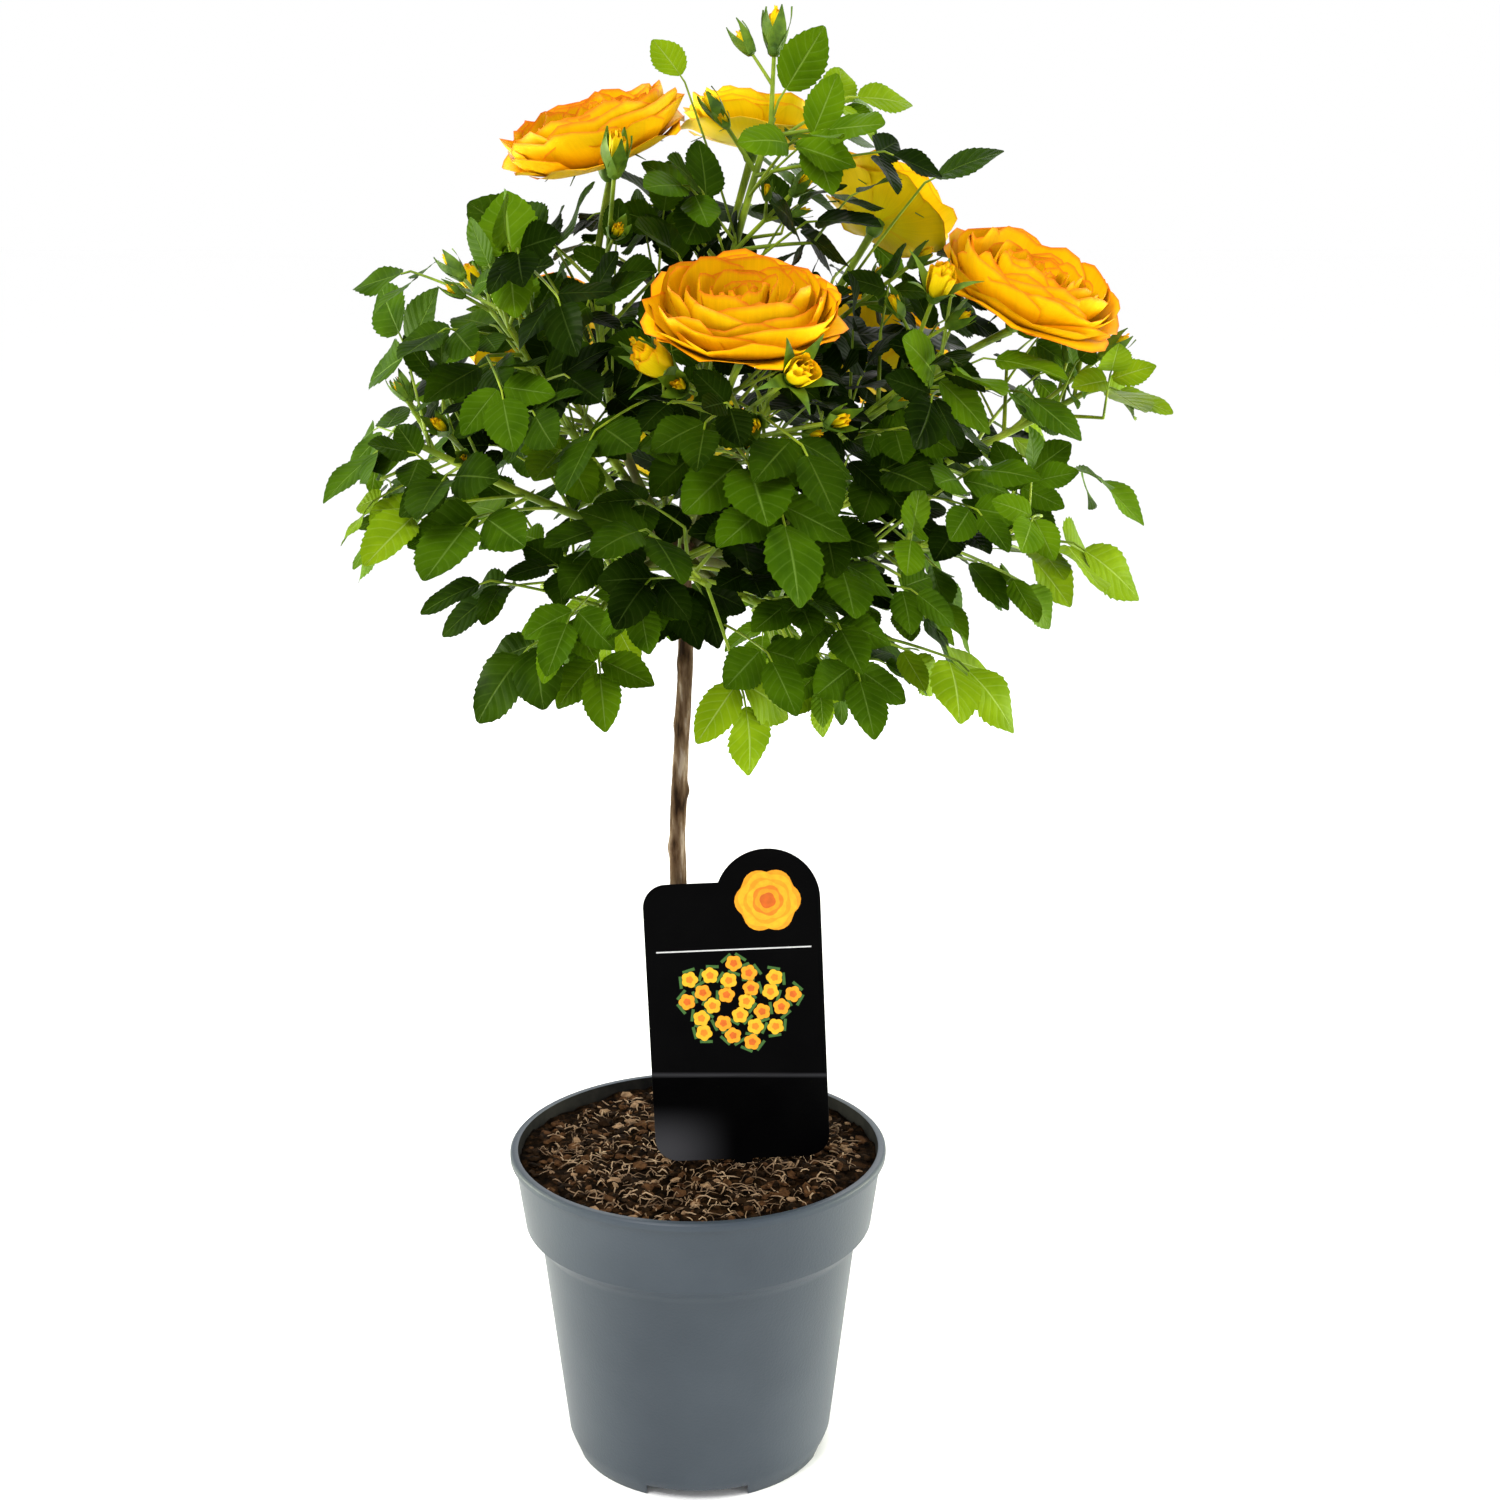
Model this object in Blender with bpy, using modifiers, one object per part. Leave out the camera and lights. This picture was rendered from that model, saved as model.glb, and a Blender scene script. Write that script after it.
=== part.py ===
"""Potted standard rose: a grafted miniature rose on a clear stem, in a plastic nursery pot.

Metres, +Z up. The pot stands on Z = 0 with its axis on Z, and the plant's front faces -Y.
Every piece that touches another is kept GAP clear of it. The crown grows by a seeded rule:
each shoot is one tapering limb out of the graft, bare at first (the bough) and leafy further
out (the mass), and some shoots end in an open bloom.
"""
import math
import random
from collections import namedtuple

import bmesh
import bpy
from mathutils import Matrix, Vector
from mathutils.bvhtree import BVHTree

# ---------------------------------------------------------------- driving dimensions

GAP = 0.0003
UP = Vector((0, 0, 1))

POT_RIM_RADIUS = 0.0700
POT_HEIGHT = 0.1200
POT_WALL = 0.0017
LIP_HEIGHT = 0.0028
LIP_ROUND = 0.0008
BAND_TOP_RADIUS = 0.0688
BAND_FOOT_RADIUS = 0.0648
BAND_HEIGHT = 0.0286
BAND_FOOT = POT_HEIGHT - BAND_HEIGHT
BAND_INSET = 0.0024
WALL_TOP_RADIUS = 0.0590
WALL_FOOT_RADIUS = 0.0500
WALL_FOOT_HEIGHT = 0.0080
SHOULDER_HEIGHT = 0.0070
SHOULDER_FOOT = BAND_FOOT - SHOULDER_HEIGHT
KNEE_RADIUS = 0.0622
KNEE_DROP = 0.0025
FOOT_RADIUS = 0.0470
FOOT_WIDTH = 0.0028
FOOT_TAPER = 0.0016
NOTCH_WIDTH = 0.0370
NOTCH_HEIGHT = 0.0046
NOTCH_START = 0.0300
FLOOR_HEIGHT = 0.0055
FLOOR_TOP = FLOOR_HEIGHT + POT_WALL
FLOOR_ROUND = 0.0034
PAD_RADIUS = 0.0110
POT_STEPS = 32

SOIL_HEIGHT = 0.1165
SOIL_EDGE_DROP = 0.0012
SOIL_FLAT_RADIUS = 0.0300

STEM_RADIUS = 0.0029
FLARE_RADIUS = 0.0050
GRAFT = Vector((-0.0050, 0.0000, 0.3420))
GRAFT_RADIUS = 0.0068

LABEL_WIDTH = 0.0640
LABEL_FOOT = 0.1188
LABEL_SHOULDER = 0.2240
LABEL_TOP = 0.2358
LABEL_CREASE = 0.1516
LABEL_THICKNESS = 0.0008
LABEL_CORNER = 0.0085
LABEL_TAB_RADIUS = 0.0190
LABEL_MIDDLE = Vector((0.0170, -0.0120, 0.0))
LABEL_TILT = math.radians(-2.5)
LABEL_FOLD = math.radians(3)
SPIKE_WIDTH = 0.0070

# Shares are of a shoot's line, from the graft to its tip.
BOUGH_SHARE = 0.30
BLOOM_SHARE = 0.82
FIRST_LEAF_SHARE = 0.36
SHOOT_CARRY = 0.45
BOUGH_RADIUS = 0.0019
SHOOT_TIP_RADIUS = 0.0011
LEAFY_SHARES = (0.35, 0.5, 0.65, 0.8, 0.95)

CROWN_CENTRE = Vector((0.0140, 0.0080, 0.3880))
CROWN_REACH = Vector((0.1530, 0.1350, 0.1180))
SHARED_DEPTH = 0.012
MARGIN = 0.0005

# A leaflet's widths and bulge are shares of its length.
LEAF_SIZE = 0.029
LEAF_THICKNESS = 0.0010
LEAF_CREST = 0.44
LEAF_FOOT_WIDTH = 0.434
LEAF_NARROWING = 0.110
LEAF_BULGE = 0.12

# A rose leaf's stalk: the pairs of leaflets sit at shares of it, the larger pair further out.
PETIOLE_RADIUS = 0.0007
JOINT_LAP = 0.0012
SHORTEST_STALK = 0.3
LEAF_ARCH = 0.14
PAIR_SPREAD = math.radians(62)
PAIR_DROOP = 0.22
PAIR_SIZES = (0.90, 0.72)
PAIR_PLACES = (0.88, 0.46)
TWO_PAIR_SHARE = 0.12
FACE_OUT = 0.85

# Leaves follow one another up a shoot by the golden angle. A leaf that finds no room is turned
# on by TRY_TURN, a little smaller each time, for a number of tries.
GOLDEN_TURN = math.radians(137.5)
TRY_TURN = 1.3
TRY_SHRINK = 0.03
TRIES = 9
LEAF_FORWARD = 0.45
LEAF_RISE = 0.10
LEAF_STALK = 2.25
PAIR_STALK = 0.35
LEAF_SAG = 0.35

BUD_TWIG_RADIUS = 0.0009
BUD_WIDTH = 0.5
BUD_LAP = 0.15
SIDE_BUD_SIZE = 0.62
SIDE_BUD_STALK = 1.3
FORK_SHARE = 0.55
FORK_ALONG = 0.8
FORK_OUT = 0.6

# Tiers of a bloom's petals, outermost first: edge radius and height as shares of its radius.
TIERS = ((1.00, 0.36), (0.88, 0.62), (0.62, 0.88))
TIER_STEP = 0.17
TIER_LIP = 0.03
PETAL_STEPS = 15
PETAL_DIP = 0.13
PETAL_WAVE = 0.06
HIP_LENGTH = 0.0110
HIP_WIDTH = 0.0100

UNION_SOLVER = "MANIFOLD"
SEED = 7

# A shoot leaves the graft at a heading and a climb (degrees) and ends at its tip (mm). It has a
# number of leaf joints, and for an open bloom the way that it faces and its radius (mm).
Shoot = namedtuple("Shoot", "name heading climb tip joints face bloom")
SHOOTS = (
    Shoot("top", -20, 84, (27, -6, 488), 6, None, 0),
    Shoot("upper_left", 196, 55, (-29, -7, 473), 6, (-0.30, -0.20, 0.93), 30),
    Shoot("upper_back", 84, 58, (20, 30, 480), 6, (0.12, 0.16, 0.98), 24),
    Shoot("upper_right", 30, 54, (64, 26, 454), 6, (0.45, 0.50, 0.74), 23),
    Shoot("front", -70, 48, (17, -66, 418), 5, (0.02, -0.38, 0.92), 30),
    Shoot("right", -18, 36, (109, -14, 424), 7, (0.34, -0.30, 0.89), 30),
    Shoot("left", 226, 34, (-68, -22, 436), 5, None, 0),
    Shoot("far_left", 182, 18, (-98, -8, 382), 5, None, 0),
    Shoot("far_right", 8, 12, (138, 6, 398), 6, None, 0),
    Shoot("side_right", -36, 4, (108, -36, 352), 5, None, 0),
    Shoot("low_left", 216, -14, (-34, -36, 322), 5, None, 0),
    Shoot("low_right", -52, -24, (62, -42, 320), 5, None, 0),
    Shoot("low_front", -96, 4, (6, -62, 340), 5, None, 0),
    Shoot("back_left", 138, 40, (-56, 82, 404), 5, (-0.40, 0.62, 0.68), 28),
    Shoot("back_right", 60, 28, (64, 88, 400), 5, (0.30, 0.68, 0.67), 29),
    Shoot("back", 104, 14, (-6, 100, 368), 5, (-0.05, 0.72, 0.69), 25),
    Shoot("low_back_left", 158, -14, (-58, 46, 322), 5, None, 0),
    Shoot("low_back_right", 34, -20, (52, 48, 316), 5, None, 0),
)

# The leaves that reach the crown's edge: shoot, place along it, tip (mm), leaflet size, pairs.
Lead = namedtuple("Lead", "shoot place tip size pairs")
LEADS = (
    Lead("front", 0.62, (36, -112, 343), 30, 1),
    Lead("far_left", 0.96, (-127, -20, 363), 31, 2),
    Lead("far_left", 0.80, (-124, 30, 326), 27, 1),
    Lead("far_left", 0.70, (-99, -15, 416), 20, 1),
    Lead("left", 0.74, (-86, -50, 400), 26, 1),
    Lead("low_left", 0.90, (-74, -50, 294), 30, 1),
    Lead("low_left", 0.97, (-28, -64, 292), 24, 1),
    Lead("low_right", 0.97, (111, -50, 291), 30, 1),
    Lead("low_right", 0.80, (60, -76, 293), 24, 1),
    Lead("low_front", 0.97, (22, -72, 279), 27, 1),
    Lead("side_right", 0.96, (153, -34, 333), 30, 2),
    Lead("far_right", 0.97, (166, 2, 390), 30, 1),
    Lead("side_right", 0.60, (110, -74, 378), 24, 1),
    Lead("upper_right", 0.60, (103, -6, 479), 27, 0),
    Lead("top", 0.90, (44, -6, 517), 28, 0),
    Lead("upper_left", 0.50, (-76, 0, 462), 26, 1),
)

# The bud clusters: shoot, place along it, tip of the largest bud (mm) and its length.
Cluster = namedtuple("Cluster", "shoot place tip length")
CLUSTERS = (
    Cluster("top", 0.985, (28, -2, 524), 16),
    Cluster("top", 0.88, (4, -12, 496), 12),
    Cluster("upper_left", 0.60, (-22, -48, 483), 17),
    Cluster("front", 0.70, (-17, -72, 416), 19),
    Cluster("front", 0.55, (37, -114, 414), 17),
    Cluster("right", 0.66, (82, -48, 442), 16),
    Cluster("far_right", 0.80, (150, 4, 417), 13),
    Cluster("left", 0.98, (-66, -32, 450), 13),
    Cluster("left", 0.80, (-84, -8, 444), 12),
    Cluster("back_left", 0.66, (-84, 30, 440), 14),
    Cluster("back", 0.70, (36, 108, 404), 15),
    Cluster("far_left", 0.90, (-104, 14, 402), 12),
    Cluster("low_back_right", 0.90, (80, 74, 340), 12),
)

# ---------------------------------------------------------------- collections and materials

for old in list(bpy.data.objects):
    bpy.data.objects.remove(old, do_unlink=True)

parts = bpy.data.collections.new("potted_standard_rose")
bpy.context.scene.collection.children.link(parts)
cutters = bpy.data.collections.new("cutters")
bpy.context.scene.collection.children.link(cutters)


def material(name, colour, roughness):
    """A plain Principled finish."""
    finish = bpy.data.materials.new(name)
    finish.use_nodes = True
    shader = finish.node_tree.nodes["Principled BSDF"]
    shader.inputs["Base Color"].default_value = (*colour, 1)
    shader.inputs["Roughness"].default_value = roughness
    finish.diffuse_color = (*colour, 1)
    return finish


POT_PLASTIC = material("pot_plastic", (0.10, 0.13, 0.15), 0.55)
POTTING_SOIL = material("potting_soil", (0.09, 0.055, 0.035), 0.95)
BARK = material("bark", (0.20, 0.14, 0.08), 0.85)
GREEN_WOOD = material("green_wood", (0.16, 0.24, 0.05), 0.6)
FOLIAGE = material("foliage", (0.07, 0.19, 0.02), 0.5)
PETALS = material("petals", (0.95, 0.52, 0.02), 0.5)
LABEL_CARD = material("label_card", (0.012, 0.012, 0.014), 0.35)


def place_mesh(name, mesh, finish):
    """Puts a finished mesh in the part under its node's name."""
    mesh.materials.clear()
    mesh.materials.append(finish)
    piece = bpy.data.objects.new(name, mesh)
    parts.objects.link(piece)
    return piece


# ---------------------------------------------------------------- pot and soil


def turned(name, profile, finish):
    """A body of revolution from (radius, height) points that start and end on the axis."""
    mesh = bpy.data.meshes.new(name)
    points = [(radius, 0, height) for radius, height in profile]
    edges = [(index, index + 1) for index in range(len(points) - 1)]
    mesh.from_pydata(points, edges, [])
    piece = place_mesh(name, mesh, finish)
    screw = piece.modifiers.new("turn", "SCREW")
    screw.steps = POT_STEPS
    screw.render_steps = POT_STEPS
    screw.use_merge_vertices = True
    screw.merge_threshold = 0.00001
    screw.use_smooth_shade = True
    return piece


def wall_radius(height, inset):
    """Radius of the pot's tapering lower wall at a height, less an inset."""
    share = (height - WALL_FOOT_HEIGHT) / (SHOULDER_FOOT - WALL_FOOT_HEIGHT)
    return WALL_FOOT_RADIUS + (WALL_TOP_RADIUS - WALL_FOOT_RADIUS) * share - inset


def band_radius(height, inset):
    """Radius of the band under the lip at a height, less an inset."""
    share = (height - BAND_FOOT) / BAND_HEIGHT
    return BAND_FOOT_RADIUS + (BAND_TOP_RADIUS - BAND_FOOT_RADIUS) * share - inset


def make_pot():
    """A moulded shell: a lip, a wide band, a shoulder, four feet and a pad under the centre."""
    lip_foot = POT_HEIGHT - LIP_HEIGHT
    round_top = FLOOR_TOP + FLOOR_ROUND
    profile = [
        (0, FLOOR_TOP),
        (FOOT_RADIUS - FLOOR_ROUND, FLOOR_TOP),
        (wall_radius(round_top, POT_WALL), round_top),
        (wall_radius(SHOULDER_FOOT, POT_WALL), SHOULDER_FOOT),
        (band_radius(BAND_FOOT, BAND_INSET), BAND_FOOT),
        (band_radius(POT_HEIGHT, POT_WALL), POT_HEIGHT),
        (POT_RIM_RADIUS - LIP_ROUND, POT_HEIGHT),
        (POT_RIM_RADIUS, POT_HEIGHT - LIP_ROUND),
        (POT_RIM_RADIUS, lip_foot),
        (band_radius(lip_foot, 0), lip_foot),
        (band_radius(BAND_FOOT, 0), BAND_FOOT),
        (KNEE_RADIUS, BAND_FOOT - KNEE_DROP),
        (WALL_TOP_RADIUS, SHOULDER_FOOT),
        (WALL_FOOT_RADIUS, WALL_FOOT_HEIGHT),
        (FOOT_RADIUS, 0),
        (FOOT_RADIUS - FOOT_WIDTH, 0),
        (FOOT_RADIUS - FOOT_WIDTH - FOOT_TAPER, FLOOR_HEIGHT),
        (PAD_RADIUS + FOOT_TAPER, FLOOR_HEIGHT),
        (PAD_RADIUS, 0),
        (0, 0),
    ]
    pot = turned("pot", profile, POT_PLASTIC)
    for quarter in range(4):
        name = f"notch_{quarter}"
        angle = quarter * math.pi / 2
        out = Vector((math.cos(angle), math.sin(angle), 0))
        middle = out * (NOTCH_START + POT_RIM_RADIUS) / 2
        bpy.ops.mesh.primitive_cube_add(size=1, location=middle, rotation=(0, 0, angle))
        notch = bpy.context.object
        notch.name = name
        notch.scale = (POT_RIM_RADIUS - NOTCH_START, NOTCH_WIDTH, 2 * NOTCH_HEIGHT)
        notch.users_collection[0].objects.unlink(notch)
        cutters.objects.link(notch)
        notch.display_type = "WIRE"
        notch.hide_render = True
        cut = pot.modifiers.new(name, "BOOLEAN")
        cut.operation = "DIFFERENCE"
        cut.object = notch


def make_soil():
    """The root ball's soil: it fills the pot and sinks a little towards the edge."""
    edge_height = SOIL_HEIGHT - SOIL_EDGE_DROP
    round_top = FLOOR_TOP + FLOOR_ROUND
    inset = POT_WALL + GAP
    profile = [
        (0, SOIL_HEIGHT),
        (SOIL_FLAT_RADIUS, SOIL_HEIGHT),
        (band_radius(edge_height, inset), edge_height),
        (band_radius(BAND_FOOT, BAND_INSET + GAP), BAND_FOOT + GAP),
        (wall_radius(SHOULDER_FOOT, inset), SHOULDER_FOOT + GAP),
        (wall_radius(round_top, inset), round_top + GAP),
        (FOOT_RADIUS - FLOOR_ROUND - GAP, FLOOR_TOP + GAP),
        (0, FLOOR_TOP + GAP),
    ]
    turned("soil", profile, POTTING_SOIL)


# ---------------------------------------------------------------- label


def arc(centre, radius, start, end, steps):
    """Points on an arc in the card's plane, angles in degrees."""
    points = []
    for index in range(steps + 1):
        angle = math.radians(start + (end - start) * index / steps)
        points.append((centre[0] + radius * math.cos(angle), centre[1] + radius * math.sin(angle)))
    return points


def make_label():
    """A plastic picture label on a spike: a card with round corners, a round tab and a crease."""
    half = LABEL_WIDTH / 2
    tab_centre = (half - LABEL_TAB_RADIUS, LABEL_TOP - LABEL_TAB_RADIUS)
    rise = LABEL_SHOULDER - tab_centre[1]
    tab_angle = 180 - math.degrees(math.asin(rise / LABEL_TAB_RADIUS))
    soil_gap = SOIL_HEIGHT + GAP
    outline = arc(tab_centre, LABEL_TAB_RADIUS, 0, tab_angle, 7)
    outline += arc((-half + LABEL_CORNER, LABEL_SHOULDER - LABEL_CORNER), LABEL_CORNER, 90, 180, 3)
    outline += [(-half, LABEL_CREASE)]
    outline += arc((-half + LABEL_CORNER, LABEL_FOOT + LABEL_CORNER), LABEL_CORNER, 180, 270, 3)
    outline += [(-SPIKE_WIDTH / 2, LABEL_FOOT), (-SPIKE_WIDTH / 4, soil_gap)]
    outline += [(SPIKE_WIDTH / 4, soil_gap), (SPIKE_WIDTH / 2, LABEL_FOOT)]
    outline += arc((half - LABEL_CORNER, LABEL_FOOT + LABEL_CORNER), LABEL_CORNER, 270, 360, 3)
    outline += [(half, LABEL_CREASE)]

    card = bmesh.new()
    corners = [card.verts.new((x, -LABEL_THICKNESS / 2, z)) for x, z in outline]
    card.faces.new(corners)
    crease = card.verts[:] + card.edges[:] + card.faces[:]
    bmesh.ops.bisect_plane(card, geom=crease, plane_co=(0, 0, LABEL_CREASE), plane_no=(0, 0, 1))
    front = bmesh.ops.extrude_face_region(card, geom=card.faces[:])
    moved = [item for item in front["geom"] if isinstance(item, bmesh.types.BMVert)]
    bmesh.ops.translate(card, verts=moved, vec=(0, LABEL_THICKNESS, 0))
    bmesh.ops.recalc_face_normals(card, faces=card.faces[:])

    upper = [vert for vert in card.verts if vert.co.z > LABEL_CREASE + GAP]
    fold_at = Vector((0, 0, LABEL_CREASE))
    bmesh.ops.rotate(card, verts=upper, cent=fold_at, matrix=Matrix.Rotation(-LABEL_FOLD, 3, "X"))
    lean_at = Vector((0, 0, SOIL_HEIGHT + GAP))
    above = [vert for vert in card.verts if vert.co.z > LABEL_FOOT - GAP]
    bmesh.ops.rotate(card, verts=above, cent=lean_at, matrix=Matrix.Rotation(LABEL_TILT, 3, "Y"))
    bmesh.ops.translate(card, verts=card.verts[:], vec=LABEL_MIDDLE)
    bmesh.ops.triangulate(card, faces=card.faces[:])
    mesh = bpy.data.meshes.new("label")
    card.to_mesh(mesh)
    card.free()
    place_mesh("label", mesh, LABEL_CARD)


# ---------------------------------------------------------------- limbs


def limb(name, points, radii, sides, finish):
    """One tapering limb: a curve with a round bevel and closed ends."""
    curve = bpy.data.curves.new(name, "CURVE")
    curve.dimensions = "3D"
    curve.bevel_depth = 1
    curve.bevel_resolution = sides // 2 - 2
    curve.use_fill_caps = True
    spline = curve.splines.new("POLY")
    spline.points.add(len(points) - 1)
    for point, place, radius in zip(spline.points, points, radii):
        point.co = (*place, 1)
        point.radius = radius
    spline.use_smooth = True
    curve.materials.append(finish)
    piece = bpy.data.objects.new(name, curve)
    parts.objects.link(piece)
    return piece


def limb_mesh(name, points, radii, sides):
    """The same limb as a closed mesh, for joining."""
    piece = limb(name, points, radii, sides, GREEN_WOOD)
    bpy.context.view_layer.update()
    evaluated = piece.evaluated_get(bpy.context.evaluated_depsgraph_get())
    mesh = bpy.data.meshes.new_from_object(evaluated)
    shape = bmesh.new()
    shape.from_mesh(mesh)
    bmesh.ops.remove_doubles(shape, verts=shape.verts[:], dist=0.00001)
    bpy.data.objects.remove(piece, do_unlink=True)
    bpy.data.meshes.remove(mesh)
    return shape


def make_trunk():
    """The clear stem: flared at the soil, slightly wavy, with the knuckle of the graft on top."""
    foot = SOIL_HEIGHT + GAP
    graft_foot = GRAFT.z - GRAFT_RADIUS
    stations = (
        (-0.0075, 0.0000, foot, FLARE_RADIUS),
        (-0.0075, 0.0000, foot + 0.0030, 0.86 * FLARE_RADIUS),
        (-0.0074, 0.0003, foot + 0.0090, 1.28 * STEM_RADIUS),
        (-0.0070, 0.0005, foot + 0.0180, 1.10 * STEM_RADIUS),
        (-0.0078, 0.0006, foot + 0.0520, 1.04 * STEM_RADIUS),
        (-0.0066, 0.0000, foot + 0.0880, 1.06 * STEM_RADIUS),
        (-0.0068, -0.0006, foot + 0.1240, 1.00 * STEM_RADIUS),
        (-0.0050, -0.0004, foot + 0.1600, 0.98 * STEM_RADIUS),
        (-0.0034, 0.0000, foot + 0.1900, 0.95 * STEM_RADIUS),
        (-0.0040, 0.0000, foot + 0.2100, 1.02 * STEM_RADIUS),
        (GRAFT.x, GRAFT.y, graft_foot, 1.35 * STEM_RADIUS),
        (GRAFT.x, GRAFT.y, GRAFT.z - 0.55 * GRAFT_RADIUS, 0.84 * GRAFT_RADIUS),
        (GRAFT.x, GRAFT.y, GRAFT.z, GRAFT_RADIUS),
        (GRAFT.x, GRAFT.y, GRAFT.z + 0.50 * GRAFT_RADIUS, 0.86 * GRAFT_RADIUS),
        (GRAFT.x, GRAFT.y, GRAFT.z + 0.87 * GRAFT_RADIUS, 0.50 * GRAFT_RADIUS),
    )
    points = [Vector(station[:3]) for station in stations]
    radii = [station[3] for station in stations]
    limb("trunk", points, radii, 10, BARK)
    claim(points, radii)


# ---------------------------------------------------------------- room in the crown

# Everything placed so far, as slightly enlarged closed shapes that newcomers must not meet.
# Wood is the name of the mass whose stem or twig it is, and None for leaves and other pieces:
# a twig may meet the wood of its own mass, because the two are joined.
Claim = namedtuple("Claim", "tree centre reach wood")
claims = []


def shape_claim(shape, wood):
    """A claim around the shape in a bmesh."""
    corners = [vert.co.copy() for vert in shape.verts]
    centre = sum(corners, Vector()) / len(corners)
    reach = max((corner - centre).length for corner in corners)
    return Claim(BVHTree.FromBMesh(shape), centre, reach, wood)


def claim(points, radii, wood=None):
    """Claims the room that a limb takes."""
    shape = limb_mesh("room", points, [radius + MARGIN for radius in radii], 6)
    claims.append(shape_claim(shape, wood))
    shape.free()


def is_free(candidate):
    """True where a candidate meets nothing that is already there."""
    for other in claims:
        if candidate.wood and other.wood == candidate.wood:
            continue
        apart = (other.centre - candidate.centre).length
        if apart < other.reach + candidate.reach and other.tree.overlap(candidate.tree):
            return False
    return True


# ---------------------------------------------------------------- leaves, twigs and buds


def frame_along(base, tip, face):
    """A matrix with Y from base to tip and Z as near as it can be to face."""
    along = (tip - base).normalized()
    upper = (face - along * face.dot(along)).normalized()
    across = along.cross(upper)
    matrix = Matrix((across, along, upper)).transposed().to_4x4()
    matrix.translation = base
    return matrix


def leaflet(base, tip, face, grow):
    """A lens with six points round its outline, widest a little below the middle."""
    length = (tip - base).length
    shape = bmesh.new()
    bmesh.ops.create_uvsphere(shape, u_segments=6, v_segments=2, radius=1)
    for vert in shape.verts:
        if abs(vert.co.z) > 0.5:
            vert.co = Vector((0, LEAF_CREST * length, vert.co.z * (LEAF_THICKNESS / 2 + grow)))
            continue
        angle = math.atan2(vert.co.x, -vert.co.y)
        share = (1 - math.cos(angle)) / 2
        half_width = (LEAF_FOOT_WIDTH - LEAF_NARROWING * share) * length
        run = share * (1 + LEAF_BULGE * (1 - share)) * length
        middle = 0.5 * length
        run = middle + (run - middle) * (1 + grow / middle)
        vert.co = Vector(((half_width + grow) * math.sin(angle), run, 0))
    shape.transform(frame_along(base, tip, face))
    return shape


def stick(base, tip, base_radius, tip_radius, sides):
    """A straight tapering twig."""
    shape = bmesh.new()
    length = (tip - base).length
    bmesh.ops.create_cone(shape, cap_ends=True, segments=sides, radius1=base_radius,
                          radius2=tip_radius, depth=length)
    bmesh.ops.translate(shape, verts=shape.verts[:], vec=(0, 0, length / 2))
    turn = UP.rotation_difference(tip - base).to_matrix().to_4x4()
    turn.translation = base
    shape.transform(turn)
    return shape


def bud(base, tip, width):
    """A pointed closed bud."""
    length = (tip - base).length
    shape = bmesh.new()
    bmesh.ops.create_uvsphere(shape, u_segments=6, v_segments=3, radius=1)
    for vert in shape.verts:
        share = (vert.co.z + 1) / 2
        taper = 1 - 0.45 * share
        vert.co = Vector((vert.co.x * width * 0.62 * taper, vert.co.y * width * 0.62 * taper,
                          share ** 1.25 * length))
    turn = UP.rotation_difference(tip - base).to_matrix().to_4x4()
    turn.translation = base
    shape.transform(turn)
    return shape


def compound_leaf(root, tip, size, pairs, face):
    """A rachis with one leaflet at its end and one or two pairs along it.

    Returns its pieces, and the enlarged shapes of its wood and of its blades.
    """
    reach = tip - root
    along = reach.normalized()
    across = along.cross(face).normalized()
    joint = root + along * max(reach.length - size, SHORTEST_STALK * reach.length)
    joint += (UP - along * along.dot(UP)) * LEAF_ARCH * reach.length
    rachis = joint - root
    run = rachis.normalized()
    pieces = [stick(root, joint + run * JOINT_LAP, PETIOLE_RADIUS, 0.9 * PETIOLE_RADIUS, 3)]
    room_radius = PETIOLE_RADIUS + MARGIN
    wood = [stick(root.lerp(joint, 0.2), joint, room_radius, room_radius, 3)]
    blades = [(joint, tip)]
    for share, place in list(zip(PAIR_SIZES, PAIR_PLACES))[:pairs]:
        for side in (-1, 1):
            start = root + rachis * place
            heading = along * math.cos(PAIR_SPREAD) + across * side * math.sin(PAIR_SPREAD)
            heading = (heading - UP * PAIR_DROOP).normalized()
            blades.append((start, start + heading * share * size))
    rooms = []
    for start, end in blades:
        pieces.append(leaflet(start, end, face, 0))
        rooms.append(leaflet(start.lerp(end, 0.10), end, face, MARGIN))
    return pieces, wood, rooms


def settle(pieces, wood, rooms, name):
    """Adds pieces to the mass of that name if there is room for all of them."""
    candidates = [shape_claim(shape, name) for shape in wood]
    candidates += [shape_claim(shape, None) for shape in rooms]
    for shape in wood + rooms:
        shape.free()
    if all(is_free(candidate) for candidate in candidates):
        claims.extend(candidates)
        masses[name].extend(pieces)
        return True
    for piece in pieces:
        piece.free()
    return False


# ---------------------------------------------------------------- shoots


def bend(start, control, end, share):
    """A point on the quadratic curve from start to end."""
    return start * (1 - share) ** 2 + control * 2 * share * (1 - share) + end * share ** 2


def millimetres(point):
    """A table's point in metres."""
    return Vector(point) * 0.001


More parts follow.
